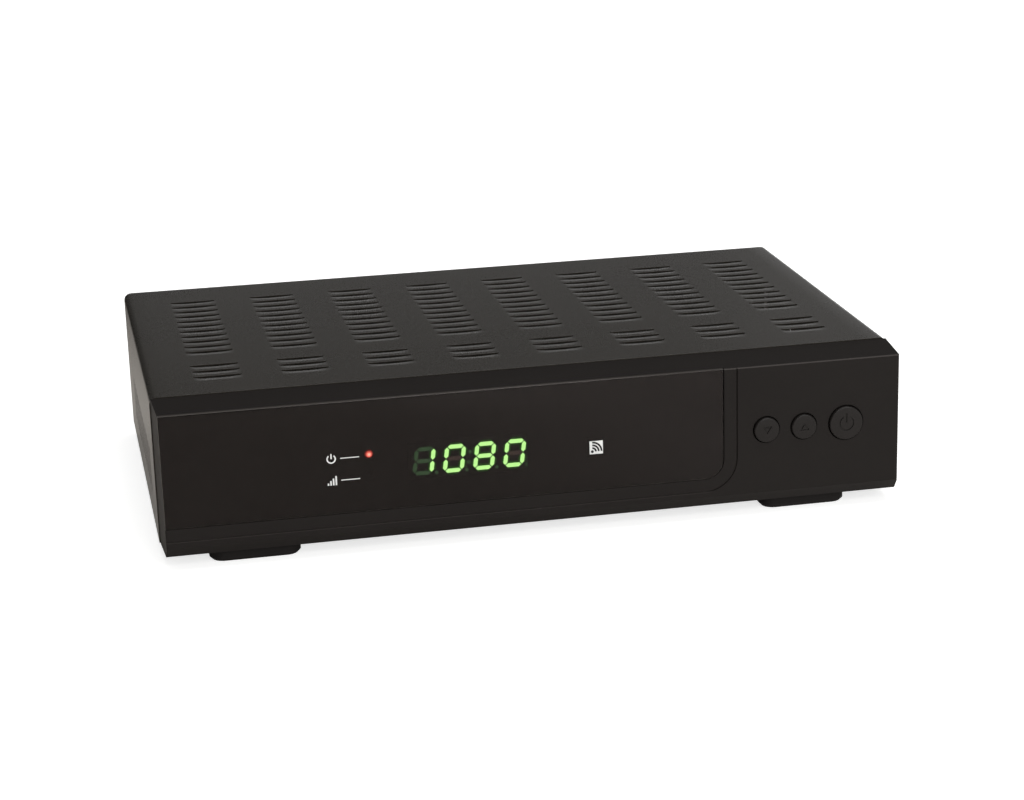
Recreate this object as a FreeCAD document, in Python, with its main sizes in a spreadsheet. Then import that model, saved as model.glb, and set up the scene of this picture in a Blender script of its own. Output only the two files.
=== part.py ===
import FreeCAD
import Part
import math
import os
import re
import Sketcher

# Satellite TV receiver, built as a parametric document in millimetres.
#
# Axes: +X to the receiver's right as seen from the front, +Y to the back, +Z up.
# The origin is the centre of the bounding box, at the level that the feet stand on.
# Every piece is drawn in "housing" coordinates: x = 0 on the centre line, y = 0 on
# the front face and z = 0 on the underside of the base. seat() moves it from there.

Vector = FreeCAD.Vector
Rotation = FreeCAD.Rotation

# ---------------------------------------------------------------- driving sizes
SIZES = (
    # Overall
    ("housing_width", 259.4),
    ("housing_depth", 163.0),
    ("housing_height", 51.7),
    ("foot_height", 4.7),
    # Sheet metal
    ("sheet", 0.8),
    ("cover_bend", 2.6),
        ("fit_gap", 0.3),
    ("flange_height", 10.0),
    # Front moulding
    ("fascia_depth", 17.3),
    ("fascia_wall", 2.4),
    ("fascia_step", 0.4),
    ("face_taper", 1.4),
    ("face_drop", 1.6),
    ("bevel_height", 4.1),
    ("bevel_depth", 3.5),
    ("edge_break", 0.35),
    ("boss_radius", 2.9),
    ("rib_thickness", 1.2),
    ("rib_pitch", 21.0),
    ("tongue_width", 18.0),
    ("tongue_reach", 6.0),
    ("tongue_inset", 30.0),
    ("rib_reach", 10.4),
    ("rib_rise", 6.2),
    ("rib_level", 42.0),
    ("fascia_screw_inset", 30.0),
    ("fascia_screw_level", 6.0),
    # Smoked window and the fine line around it
        ("window_base", 10.7),
    ("window_thickness", 1.5),
    ("window_corner", 7.0),
    ("window_gap", 0.25),
    ("window_chamfer", 0.3),
    ("button_bay", 65.1),
    ("line_offset", 4.6),
    ("line_width", 0.6),
    ("line_depth", 0.4),
    # Buttons, their switches and the front circuit board
    ("button_level", 27.0),
    ("small_button_radius", 4.6),
    ("power_button_radius", 6.15),
    ("button_gap", 0.3),
    ("button_proud", 1.0),
    ("button_edge", 0.6),
    ("button_travel", 0.3),
    ("button_flange", 1.0),
    ("collar_wall", 1.3),
    ("power_button_inset", 20.9),
    ("small_button_inset", 36.3),
    ("small_button_pitch", 13.6),
    ("switch_side", 6.0),
    ("switch_depth", 3.4),
    ("plunger_radius", 1.75),
    ("plunger_reach", 1.1),
    ("front_board_at", 9.4),
    ("front_board_rise", 28.0),
    ("front_board_left_margin", 8.0),
    ("front_board_right_margin", 10.0),
    ("post_inset", 4.0),
    ("board_thickness", 1.6),
    # Display, lamps and infrared eye
    ("display_offset", 25.6),
    ("display_level", 26.7),
    ("display_width", 40.4),
    ("display_rise", 12.8),
    ("display_set_back", 0.7),
    ("display_margin", 0.4),
    ("lamp_offset", 59.1),
    ("lamp_level", 30.4),
    ("lamp_pitch", 7.7),
    ("lamp_radius", 1.5),
    ("lamp_margin", 0.3),
    ("lamp_barrel", 3.2),
    ("lamp_rim", 0.9),
    ("eye_offset", 18.9),
    ("eye_level", 26.1),
    ("eye_side", 6.4),
    ("eye_margin", 0.4),
    ("eye_depth", 3.6),
    ("eye_lens_radius", 2.4),
    # Louvres in the cover
    ("louvre_length", 16.5),
    ("louvre_opening", 0.7),
    ("louvre_lip", 2.6),
    ("louvre_dip", 0.45),
    ("louvre_pitch", 7.2),
    ("louvre_side_margin", 24.7),
    ("louvre_back_margin", 20.0),
    ("louvre_front_margin", 21.2),
    ("side_vent_width", 2.4),
    ("side_vent_rise", 16.0),
    ("side_vent_pitch", 7.2),
    ("side_vent_level", 11.0),
    ("side_vent_start", 24.0),
    ("middle_ear_offset", 28.0),
    ("side_ear_inset", 16.0),
    ("ear_width", 14.0),
    ("ear_drop", 11.0),
    ("ear_screw_drop", 6.0),
    # Feet
    ("foot_width", 31.0),
    ("foot_length", 26.0),
    ("foot_corner", 5.0),
    ("foot_front", 6.4),
    ("foot_left_inset", 16.0),
    ("foot_right_inset", 18.2),
    ("foot_back_inset", 8.0),
    ("foot_screw_radius", 1.5),
    ("foot_screw_setback", 16.0),
    ("foot_sole_break", 1.0),
    # Boards behind the rear wall
    ("standoff_height", 5.0),
    ("standoff_radius", 3.5),
    ("board_side_gap", 5.0),
    ("board_back_gap", 0.6),
    ("power_board_width", 48.0),
    ("power_board_length", 108.0),
    ("main_board_length", 112.0),
    ("board_split", 6.0),
    ("board_hole_inset", 4.5),
    ("board_hole_reach", 60.0),
    ("floor_vent_start", 58.7),
    ("floor_vent_inset", 24.0),
    ("floor_vent_width", 2.6),
    ("floor_vent_length", 18.0),
    ("floor_vent_pitch", 6.6),
    ("floor_vent_row_pitch", 28.0),
    ("panel_lip", 7.0),
    ("screw_radius", 1.4),
    ("screw_head_radius", 2.8),
    ("screw_head_height", 1.8),
    ("screw_hole_gap", 0.2),
    ("screw_bite_gap", 0.1),
    # Sockets on the rear wall
    ("tuner_width", 32.0),
    ("tuner_length", 52.0),
    ("tuner_rise", 17.0),
    ("f_wall", 1.6),
    ("f_bore", 5.0),
    ("f_hole_gap", 0.2),
    ("f_radius", 4.76),
    ("f_reach", 11.0),
    ("f_pitch", 17.0),
    ("nut_flats", 11.0),
    ("nut_height", 2.4),
    ("ethernet_width", 16.0),
    ("ethernet_rise", 13.4),
    ("ethernet_length", 18.0),
    ("ethernet_mouth_width", 11.8),
    ("ethernet_mouth_rise", 8.4),
    ("ethernet_mouth_depth", 13.0),
    ("latch_width", 6.0),
    ("latch_rise", 2.6),
    ("usb_width", 13.2),
    ("usb_rise", 6.4),
    ("usb_length", 14.0),
    ("usb_wall", 0.5),
    ("usb_tongue", 1.8),
    ("hdmi_width", 15.0),
    ("hdmi_rise", 6.0),
    ("hdmi_length", 12.0),
    ("hdmi_wall", 0.6),
    ("hdmi_tongue", 1.2),
    ("socket_proud", 0.4),
    ("wall_hole_gap", 0.3),
    ("jack_tower_width", 11.0),
    ("jack_tower_depth", 12.0),
    ("jack_first_level", 6.6),
    ("jack_wall", 0.5),
    ("jack_collar", 0.7),
    ("jack_pin_radius", 1.7),
    ("jack_radius", 4.15),
    ("jack_pitch", 12.8),
    ("jack_reach", 9.4),
    ("scart_width", 60.0),
    ("scart_rise", 22.6),
    ("scart_depth", 14.0),
    ("scart_end", 5.0),
    ("scart_nose_rise", 17.0),
    ("scart_nose_level", 3.0),
    ("scart_rim", 1.2),
    ("scart_well", 11.0),
    # Mains side
    ("inlet_width", 22.0),
    ("inlet_rise", 16.0),
    ("inlet_edge", 1.0),
    ("inlet_depth", 18.0),
    ("inlet_well", 13.0),
    ("inlet_lobe_radius", 4.3),
    ("inlet_lobe_offset", 3.4),
    ("inlet_waist", 7.2),
    ("inlet_pin_offset", 4.3),
    ("inlet_pin_radius", 1.2),
    ("inlet_pin_length", 9.0),
    ("rocker_case_width", 14.0),
    ("rocker_case_rise", 21.0),
    ("rocker_edge", 27.0),
    ("rocker_swing", 12.0),
    ("rocker_pin", 1.2),
    ("rocker_wall", 1.1),
    ("rocker_axis_depth", 1.2),
    ("rocker_well", 9.0),
    ("rocker_case_depth", 14.0),
    ("rocker_bezel", 1.8),
    # Pieces on the boards
    ("decoder_offset", 31.2),
    ("decoder_setback", 69.4),
    ("decoder_side", 23.0),
    ("decoder_rise", 1.6),
    ("sink_side", 30.0),
    ("sink_base", 2.5),
    ("sink_fin", 1.4),
    ("sink_fin_rise", 12.0),
    ("memory_offset", 22.0),
    ("memory_width", 10.0),
    ("memory_length", 13.0),
    ("memory_rise", 1.2),
    ("header_rise", 5.0),
    ("header_depth", 5.0),
    ("ribbon_width", 14.0),
    ("ribbon_header_width", 18.0),
    ("ribbon_thickness", 0.8),
    ("harness_setback", 73.0),
    ("harness_width", 10.0),
    ("harness_thickness", 1.2),
    ("harness_header_length", 14.0),
    ("small_can_radius", 4.0),
    ("main_can_rise", 11.0),
    ("output_can_rise", 14.0),
    ("mains_can_radius", 9.0),
    ("mains_can_rise", 30.0),
)

doc = FreeCAD.newDocument("Receiver")
sheet = doc.addObject("Spreadsheet::Sheet", "Sizes")
for row, (alias, number) in enumerate(SIZES, start=1):
    sheet.set(f"A{row}", alias)
    sheet.set(f"B{row}", str(number))
    sheet.setAlias(f"B{row}", alias)
doc.recompute()

ALIASES = {alias for alias, _ in SIZES}
PARTS = []


# ---------------------------------------------------------------- small helpers
def formula(text):
    """Turn plain size names into references to the sheet."""
    return re.sub(r"[a-z][a-z_]+", lambda m: "Sizes." + m[0] if m[0] in ALIASES else m[0], str(text))


def size(text):
    """Work a formula out as a number."""
    return float(sheet.evalExpression(formula(text)))


def bind(item, name, text):
    """Tie one property of a document object to the sheet."""
    item.setExpression(name, formula(text))


def move(item, x, y, z):
    """Tie the place of a document object to the sheet."""
    bind(item, "Placement.Base.x", x)
    bind(item, "Placement.Base.y", y)
    bind(item, "Placement.Base.z", z)


# Places that many pieces share, in housing coordinates
HALF = "(housing_width / 2)"
TRAY_HALF = f"({HALF} - sheet - fit_gap)"
TRAY_FRONT = "(fascia_depth + fit_gap)"
REAR_OUT = "(housing_depth - sheet)"
REAR_IN = f"({REAR_OUT} - sheet)"
WALL_TOP = "(housing_height - sheet - fit_gap)"
FASCIA_HALF = f"({HALF} - fascia_step)"
FACE_HALF = f"({HALF} - face_taper)"
FACE_TOP = "(housing_height - face_drop)"
BOARD_LEVEL = "(sheet + standoff_height)"
BOARD_TOP = f"({BOARD_LEVEL} + board_thickness)"
FRONT_Y = "((button_proud - housing_depth - f_reach + sheet) / 2)"


def seat(item, x="0", y="0", z="0"):
    """Stand a piece drawn in housing coordinates on the shared floor."""
    move(item, x, f"{FRONT_Y} + {y}", f"foot_height + {z}")
    PARTS.append(item)


def new_body(label):
    """Start a sub-part; its label names its file."""
    body = doc.addObject("PartDesign::Body", label)
    body.Label = label
    return body


def origin_plane(body, role):
    return next(item for item in body.Origin.OriginFeatures if item.Role == role)


def new_sketch(body, name, role, offset="0"):
    """Lay an empty sketch on one of the body's own origin planes."""
    sketch = body.newObject("Sketcher::SketchObject", name)
    sketch.AttachmentSupport = [(origin_plane(body, role), "")]
    sketch.MapMode = "FlatFace"
    bind(sketch, "AttachmentOffset.Base.z", offset)
    return sketch


def pin_point(sketch, edge, end, x, y):
    """Fix one end of a sketch edge at a place worked out from the sheet."""
    for kind, text in (("DistanceX", x), ("DistanceY", y)):
        index = sketch.addConstraint(Sketcher.Constraint(kind, -1, 1, edge, end, size(text)))
        bind(sketch, f"Constraints[{index}]", text)


def polygon(sketch, points):
    """Draw a closed outline through points given as pairs of formulas."""
    corners = [Vector(size(x), size(y), 0) for x, y in points]
    edges = []
    for here, there in zip(corners, corners[1:] + corners[:1]):
        edges.append(sketch.addGeometry(Part.LineSegment(here, there)))
    for edge, following in zip(edges, edges[1:] + edges[:1]):
        sketch.addConstraint(Sketcher.Constraint("Coincident", edge, 2, following, 1))
    for edge, (x, y) in zip(edges, points):
        pin_point(sketch, edge, 1, x, y)
    return sketch


def rectangle(sketch, left, low, right, high):
    return polygon(sketch, ((left, low), (right, low), (right, high), (left, high)))


def circle(sketch, x, y, radius):
    centre = Vector(size(x), size(y), 0)
    edge = sketch.addGeometry(Part.Circle(centre, Vector(0, 0, 1), size(radius)))
    pin_point(sketch, edge, 3, x, y)
    index = sketch.addConstraint(Sketcher.Constraint("Radius", edge, size(radius)))
    bind(sketch, f"Constraints[{index}]", radius)
    return sketch


def pad(body, name, sketch, length, backwards=False):
    feature = body.newObject("PartDesign::Pad", name)
    feature.Profile = sketch
    feature.Reversed = backwards
    bind(feature, "Length", length)
    return feature


def pocket_through(body, name, sketch):
    """Cut a sketch right through the body, both ways from its plane."""
    feature = body.newObject("PartDesign::Pocket", name)
    feature.Profile = sketch
    feature.Type = "ThroughAll"
    feature.Midplane = True
    return feature


def block(body, name, low, spans, cut=False):
    """Add or cut a box from its low corner and its three spans."""
    feature = body.newObject(f"PartDesign::{'Subtractive' if cut else 'Additive'}Box", name)
    for side, text in zip(("Length", "Width", "Height"), spans):
        bind(feature, side, text)
    move(feature, *low)
    return feature


TURNS = {"x": Rotation(Vector(0, 1, 0), 90), "y": Rotation(Vector(1, 0, 0), -90), "z": Rotation()}


def rod(body, name, start, radius, length, axis="z", cut=False):
    """Add or cut a cylinder that runs from its start along +axis."""
    feature = body.newObject(f"PartDesign::{'Subtractive' if cut else 'Additive'}Cylinder", name)
    feature.Placement = FreeCAD.Placement(Vector(0, 0, 0), TURNS[axis])
    bind(feature, "Radius", radius)
    bind(feature, "Height", length)
    move(feature, *start)
    return feature


def prism(body, name, start, radius, length, axis="z", sides=8, cut=False):
    """Add a prism inside a circle, or cut one that clears it, along +axis."""
    feature = body.newObject(f"PartDesign::{'Subtractive' if cut else 'Additive'}Prism", name)
    feature.Polygon = sides
    feature.Placement = FreeCAD.Placement(Vector(0, 0, 0), TURNS[axis])
    bind(feature, "Circumradius", f"({radius}) / cos({180 / sides:g})" if cut else radius)
    bind(feature, "Height", length)
    move(feature, *start)
    return feature


def grid(body, name, features, first, second=None):
    """Repeat features along one or two axes; each is (role, length, count)."""
    pattern = body.newObject("PartDesign::LinearPattern", name)
    pattern.Originals = features
    pattern.Direction = (origin_plane(body, first[0]), [""])
    bind(pattern, "Length", first[1])
    pattern.Occurrences = first[2]
    if second:
        pattern.Direction2 = (origin_plane(body, second[0]), [""])
        bind(pattern, "Length2", second[1])
        pattern.Occurrences2 = second[2]
    body.Tip = pattern
    return pattern


def edges_like(shape, test):
    """Name the edges whose bounding box passes a test."""
    return [f"Edge{n}" for n, edge in enumerate(shape.Edges, start=1) if test(edge.BoundBox)]


def dress(body, name, kind, test, amount):
    """Fillet or chamfer the edges of the current tip that pass a test."""
    doc.recompute()
    base = body.Tip
    feature = body.newObject(f"PartDesign::{kind}", name)
    feature.Base = (base, edges_like(base.Shape, test))
    bind(feature, "Radius" if kind == "Fillet" else "Size", amount)
    return feature


def near(value, text, slack=0.01):
    return abs(value - size(text)) < slack


def upright(box, slack=0.01):
    return box.XLength < slack and box.YLength < slack


def along_x(box, slack=0.01):
    return box.YLength < slack and box.ZLength < slack


def along_y(box, slack=0.01):
    return box.XLength < slack and box.ZLength < slack


# ---------------------------------------------------------------- front moulding
def button_places():
    """Name, x and radius of the three push buttons, from left to right."""
    up = f"({HALF} - small_button_inset)"
    down = f"({up} - small_button_pitch)"
    power = f"({HALF} - power_button_inset)"
    return (
        ("channel_down", down, "small_button_radius"),
        ("channel_up", up, "small_button_radius"),
        ("power", power, "power_button_radius"),
    )


WINDOW_RIGHT = f"({HALF} - button_bay)"
BOARD_LEFT = "(-lamp_offset - front_board_left_margin)"
BOARD_RIGHT = f"({HALF} - power_button_inset + front_board_right_margin)"
BOARD_LOW = "(button_level - front_board_rise / 2)"


def post_places():
    """Centres of the four posts that carry the front circuit board."""
    left = f"({BOARD_LEFT} + post_inset)"
    right = f"({BOARD_RIGHT} - post_inset)"
    low = f"({BOARD_LOW} + post_inset)"
    high = f"({BOARD_LOW} + front_board_rise - post_inset)"
    return ((left, low), (right, low), (left, high), (right, high))


def fascia_screw_places():
    """Centres of the three screws that hold the moulding to the tray."""
    spread = f"({HALF} - fascia_screw_inset)"
    return tuple((x, "fascia_screw_level") for x in (f"-{spread}", "0", spread))


def fascia_shell(body):
    """Loft the tapering outside, cut the bevel and hollow it from behind."""
    face = rectangle(new_sketch(body, "FaceOutline", "XZ_Plane"), f"-{FACE_HALF}", "0", FACE_HALF, FACE_TOP)
    rear = new_sketch(body, "RearOutline", "XZ_Plane", "-fascia_depth")
    rectangle(rear, f"-{FASCIA_HALF}", "0", FASCIA_HALF, "housing_height - fascia_step")
    loft = body.newObject("PartDesign::AdditiveLoft", "Outside")
    loft.Profile = face
    loft.Sections = [rear]
    loft.Ruled = True
    bevel = polygon(
        new_sketch(body, "BevelProfile", "YZ_Plane"),
        (
            ("-1", "-1"),
            ("bevel_depth + bevel_depth / bevel_height", "-1"),
            ("bevel_depth", "0"),
            ("0", "bevel_height"),
            ("-1", "bevel_height"),
        ),
    )
    pocket_through(body, "Bevel", bevel)
    doc.recompute()
    solid = body.Tip
    back = [f"Face{n}" for n, f in enumerate(solid.Shape.Faces, start=1) if near(f.CenterOfMass.y, "fascia_depth")]
    hollow = body.newObject("PartDesign::Thickness", "Hollow")
    hollow.Base = (solid, back)
    hollow.Mode = "Skin"
    hollow.Join = "Intersection"
    hollow.Reversed = True
    bind(hollow, "Value", "fascia_wall")

    def front_edge(box):
        on_face = box.YMax < 0.01
        top = on_face and near(box.ZMin, FACE_TOP)
        side = on_face and box.ZLength > size("bevel_height") * 2
        return top or side

    dress(body, "FrontBreak", "Chamfer", front_edge, "edge_break")


def fascia_window_seat(body):
    """Recess for the smoked window, open at the top and left, and the fine line around it."""
    spans = (f"{WINDOW_RIGHT} + {HALF}", "window_thickness", "housing_height - window_base")
    block(body, "WindowSeat", (f"-{HALF}", "0", "window_base"), spans, cut=True)

    def corner(box):
        return along_y(box) and near(box.XMin, WINDOW_RIGHT) and near(box.ZMin, "window_base")

    dress(body, "WindowSeatCorner", "Fillet", corner, "window_corner")
    line_x = f"({WINDOW_RIGHT} + line_offset)"
    line_z = "(window_base - line_offset)"
    radius = "(window_corner + line_offset)"
    start = "(housing_height + 2)"
    finish = f"(-{HALF} - 2)"
    path = new_sketch(body, "LinePath", "XZ_Plane")
    x, z, r = size(line_x), size(line_z), size(radius)
    down = path.addGeometry(Part.LineSegment(Vector(x, size(start), 0), Vector(x, z + r, 0)))
    bend = Part.Circle(Vector(x - r, z + r, 0), Vector(0, 0, 1), r)
    turn = path.addGeometry(Part.ArcOfCircle(bend, -math.pi / 2, 0))
    along = path.addGeometry(Part.LineSegment(Vector(x - r, z, 0), Vector(size(finish), z, 0)))
    path.addConstraint(Sketcher.Constraint("Tangent", down, 2, turn, 2))
    path.addConstraint(Sketcher.Constraint("Tangent", along, 1, turn, 1))
    path.addConstraint(Sketcher.Constraint("Vertical", down))
    path.addConstraint(Sketcher.Constraint("Horizontal", along))
    pin_point(path, down, 1, line_x, start)
    pin_point(path, along, 2, finish, line_z)
    index = path.addConstraint(Sketcher.Constraint("Radius", turn, r))
    bind(path, f"Constraints[{index}]", radius)
    section = polygon(
        new_sketch(body, "LineSection", "XY_Plane", start),
        (
            (f"{line_x} - line_width / 2", "-0.05"),
            (f"{line_x} + line_width / 2", "-0.05"),
            (line_x, "line_depth"),
        ),
    )
    groove = body.newObject("PartDesign::SubtractivePipe", "FineLine")
    groove.Profile = section
    groove.Spine = (path, ["Edge1", "Edge2", "Edge3"])
    groove.Transition = "Transformed"


def fascia_openings(body):
    """Holes in the web behind the window for the display, lamps and eye."""
    display_x = "-display_offset - display_width / 2 - display_margin"
    display_z = "display_level - display_rise / 2 - display_margin"
    spans = ("display_width + 2 * display_margin", "fascia_wall + 2", "display_rise + 2 * display_margin")
    block(body, "DisplayHole", (display_x, "window_thickness - 0.2", display_z), spans, cut=True)
    for name, level in (("Upper", "lamp_level"), ("Lower", "lamp_level - lamp_pitch")):
        start = ("-lamp_offset", "window_thickness - 0.2", level)
        prism(body, f"{name}LampHole", start, "lamp_radius + lamp_margin", "fascia_wall", "y", cut=True)
    half = "eye_side / 2 - eye_margin"
    corner = (f"eye_offset - {half}", "window_thickness - 0.2", f"eye_level - {half}")
    block(body, "EyeHole", corner, ("eye_side + 2 * eye_margin", "fascia_wall", "eye_side + 2 * eye_margin"), cut=True)


def fascia_button_guides(body):
    """A collar and a clear hole for each push button."""
    for name, x, radius in button_places():
        start = (x, "fascia_wall / 2", "button_level")
        outer = f"{radius} + button_gap + collar_wall"
        prism(body, f"{name}_collar", start, outer, "fascia_wall / 2 + collar_wall", "y", sides=16)
    for name, x, radius in button_places():
        start = (x, "-1", "button_level")
        rod(body, f"{name}_hole", start, f"{radius} + button_gap", "fascia_wall + collar_wall + 2", "y", cut=True)


def fascia_fixings(body):
    """Board posts, screw bosses, top tongues and stiffening ribs."""
    root = "(fascia_wall / 2 + 0.6)"
    for n, (x, z) in enumerate(post_places()):
        prism(body, f"Post{n}", (x, root, z), "boss_radius", f"front_board_at - {root}", "y", sides=6)
        prism(body, f"PostPilot{n}", (x, f"{root} + 1.2", z), "screw_radius + screw_bite_gap", "front_board_at", "y", cut=True)
    for n, (x, z) in enumerate(fascia_screw_places()):
        prism(body, f"Boss{n}", (x, "fascia_wall", z), "boss_radius", "fascia_depth - fascia_wall", "y", sides=6)
        prism(body, f"BossPilot{n}", (x, "fascia_wall * 2", z), "screw_radius + screw_bite_gap", "fascia_depth", "y", cut=True)
    rib_spans = ("rib_thickness", "rib_reach", "rib_rise")
    rib_low = (f"-{HALF} + rib_pitch", "fascia_wall - 0.4", "rib_level")
    rib = block(body, "Rib", rib_low, rib_spans)
    grid(body, "Ribs", [rib], ("X_Axis", "floor((housing_width - 2 * rib_pitch) / rib_pitch) * rib_pitch", 11))
    top = "housing_height - sheet - fit_gap - fascia_wall * 0.8"
    tongue_low = (f"-{HALF} + tongue_inset", "fascia_depth - fascia_wall", top)
    tongue_spans = ("tongue_width", "tongue_reach + fascia_wall", "fascia_wall * 0.8")
    tongue = block(body, "Tongue", tongue_low, tongue_spans)
    grid(body, "Tongues", [tongue], ("X_Axis", "housing_width - 2 * tongue_inset - tongue_width", 4))


def front_fascia():
    body = new_body("front_fascia")
    fascia_shell(body)
    fascia_window_seat(body)
    fascia_button_guides(body)
    fascia_openings(body)
    fascia_fixings(body)
    seat(body)


def display_window():
    """Clear plate over the left of the face, flush with its top and left edges."""
    body = new_body("display_window")
    low = (f"-{FACE_HALF}", "0", "window_base + window_gap")
    width = f"{WINDOW_RIGHT} + {FACE_HALF} - window_gap"
    block(body, "Plate", low, (width, "window_thickness", f"{FACE_TOP} - window_base - window_gap"))

    def corner(box):
        right = near(box.XMin, f"{WINDOW_RIGHT} - window_gap")
        return along_y(box) and right and near(box.ZMin, "window_base + window_gap")

    dress(body, "Corner", "Fillet", corner, "window_corner - window_gap")
    dress(body, "EdgeBreak", "Chamfer", lambda box: box.YMax < 0.01, "window_chamfer")
    seat(body)


# ---------------------------------------------------------------- push buttons
PLUNGER_TIP = "(front_board_at - switch_depth - plunger_reach)"


def push_button(name, x, radius):
    """A rounded cap with a stop flange behind the collar and a stem."""
    flange_at = "(fascia_wall + collar_wall + 0.1)"
    body = new_body(f"{name}_button")
    rod(body, "Cap", ("0", "-button_proud", "0"), radius, f"button_proud + {flange_at}", "y")
    dress(body, "CapEdge", "Chamfer", lambda box: near(box.YMax, "-button_proud"), "button_edge")
    reach = f"{PLUNGER_TIP} - {flange_at}"
    prism(body, "Flange", ("0", flange_at, "0"), f"{radius} + button_gap + button_flange", reach, "y", sides=12)
    seat(body, x=x, z="button_level")


def push_plunger(name, x):
    """The switch's own pin, which the button carries."""
    body = new_body(f"{name}_plunger")
    reach = "plunger_reach + switch_depth / 2"
    prism(body, "Pin", ("0", PLUNGER_TIP, "0"), "plunger_radius", reach, "y")
    seat(body, x=x, z="button_level")


def button_switches():
    """The three square switch cases, each with a well for its pin."""
    body = new_body("button_switches")
    half = "switch_side / 2"
    front = "front_board_at - switch_depth"
    for name, x, _ in button_places():
        low = (f"{x} - {half}", front, f"button_level - {half}")
        block(body, f"{name}_case", low, ("switch_side", "switch_depth", "switch_side"))
        well = "switch_depth / 2 + button_travel + 0.2"
        prism(body, f"{name}_well", (x, front, "button_level"), "plunger_radius + 0.1", well, "y", cut=True)
    seat(body)


# ---------------------------------------------------------------- front electronics
def front_circuit_board():
    body = new_body("front_circuit_board")
    low = (BOARD_LEFT, "front_board_at", BOARD_LOW)
    block(body, "Laminate", low, (f"{BOARD_RIGHT} - {BOARD_LEFT}", "board_thickness", "front_board_rise"))
    for n, (x, z) in enumerate(post_places()):
        start = (x, "front_board_at - 1", z)
        prism(body, f"Hole{n}", start, "screw_radius + screw_hole_gap", "board_thickness + 2", "y", cut=True)
    header_low = ("eye_offset - ribbon_header_width / 2", "front_board_at + board_thickness", "button_level - 6")
    block(body, "RibbonHeader", header_low, ("ribbon_header_width", "2.6", "6"))
    seat(body)


def led_display():
    """Four-digit module, set just behind the window."""
    body = new_body("led_display")
    front = "(window_thickness + display_set_back)"
    low = ("-display_offset - display_width / 2", front, "display_level - display_rise / 2")
    block(body, "Case", low, ("display_width", f"front_board_at - {front}", "display_rise"))
    seat(body)


def indicator_lamp(label, level):
    """Lamp with a bevelled nose, a flange and two leads down to the board."""
    body = new_body(label)
    front = "(window_thickness + 0.3)"
    straight = f"({front} + lamp_radius)"
    prism(body, "Barrel", ("0", front, "0"), "lamp_radius", "lamp_barrel + lamp_radius", "y", sides=12)
    dress(body, "Nose", "Chamfer", lambda box: near(box.YMax, front), "lamp_radius / 2")
    prism(body, "Rim", ("0", f"{straight} + lamp_barrel", "0"), "lamp_radius + 0.4", "lamp_rim", "y")
    root = f"({straight} + lamp_barrel + lamp_rim / 2)"
    lead = block(body, "Lead", ("-1.5", root, "-0.25"), ("0.5", f"front_board_at - {root}", "0.5"))
    grid(body, "Leads", [lead], ("X_Axis", "2.5", 2))
    seat(body, x="-lamp_offset", z=level)


def ir_receiver():
    """Infrared eye: a moulded case with a lens bump and three legs."""
    body = new_body("ir_receiver")
    half = "eye_side / 2"
    front = "(fascia_wall + 0.4)"
    block(body, "Case", (f"-{half}", front, f"-{half}"), ("eye_side", "eye_depth", "eye_side"))
    prism(body, "Lens", ("0", f"{front} - 1.1", "0"), "eye_lens_radius", "1.2", "y", sides=16)
    root = f"({front} + eye_depth - 0.1)"
    leg = block(body, "Leg", ("-2.8", root, "-0.25"), ("0.5", f"front_board_at - {root}", "0.5"))
    grid(body, "Legs", [leg], ("X_Axis", "5.08", 3))
    seat(body, x="eye_offset", z="eye_level")


def screw_along_y(body, name, x, y, z, length):
    """Screw whose head sits at y and whose shank runs to the front."""
    prism(body, f"{name}Head", (x, y, z), "screw_head_radius", "screw_head_height", "y")
    prism(body, f"{name}Shank", (x, f"{y} - ({length})", z), "screw_radius", length, "y")


def front_board_screws():
    body = new_body("front_board_screws")
    for n, (x, z) in enumerate(post_places()):
        screw_along_y(body, f"Screw{n}", x, "front_board_at + board_thickness", z, "board_thickness + 4")
    seat(body)


def fascia_screws():
    body = new_body("fascia_screws")
    for n, (x, z) in enumerate(fascia_screw_places()):
        screw_along_y(body, f"Screw{n}", x, f"{TRAY_FRONT} + sheet", z, "sheet + fit_gap + 7")
    seat(body)


# ---------------------------------------------------------------- rear wall layout
POWER_LEFT = f"(-{TRAY_HALF} + sheet + board_side_gap)"
POWER_RIGHT = f"({POWER_LEFT} + power_board_width)"
MAIN_LEFT = f"({POWER_RIGHT} + board_split)"
MAIN_RIGHT = f"({TRAY_HALF} - sheet - board_side_gap)"
BOARD_BACK = f"({REAR_IN} - board_back_gap)"
HARNESS_Y = f"({BOARD_BACK} - harness_setback)"
SOCKET_BACK = f"({REAR_IN} - 0.1)"
JACK_FACE = f"({REAR_OUT} + 0.5)"

SOCKET_WIDTHS = ("scart_width", "jack_tower_width", "hdmi_width", "usb_width", "ethernet_width", "tuner_width")
SOCKET_SPACE = f"(({MAIN_RIGHT} - {MAIN_LEFT} - {' - '.join(SOCKET_WIDTHS)}) / {len(SOCKET_WIDTHS) + 1})"


def socket_left(name):
    """Left edge of a rear socket: the free width is shared out evenly."""
    place = SOCKET_WIDTHS.index(name)
    before = "".join(f" + {width}" for width in SOCKET_WIDTHS[:place])
    return f"({MAIN_LEFT} + {place + 1} * {SOCKET_SPACE}{before})"


def socket_middle(name):
    return f"({socket_left(name)} + {name} / 2)"


F_LEVEL = f"({BOARD_TOP} + tuner_rise / 2)"
INLET_X = f"({POWER_LEFT} + inlet_edge + inlet_width / 2)"
INLET_Z = f"({BOARD_TOP} + inlet_rise / 2)"
ROCKER_X = f"({POWER_LEFT} + rocker_edge + rocker_case_width / 2)"
ROCKER_Z = f"({BOARD_TOP} + rocker_case_rise / 2)"


def f_places():
    middle = socket_middle("tuner_width")
    return ((f"({middle} - f_pitch / 2)", F_LEVEL), (f"({middle} + f_pitch / 2)", F_LEVEL))


def jack_levels():
    return tuple(f"({BOARD_TOP} + jack_first_level + {n} * jack_pitch)" for n in range(3))


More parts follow.
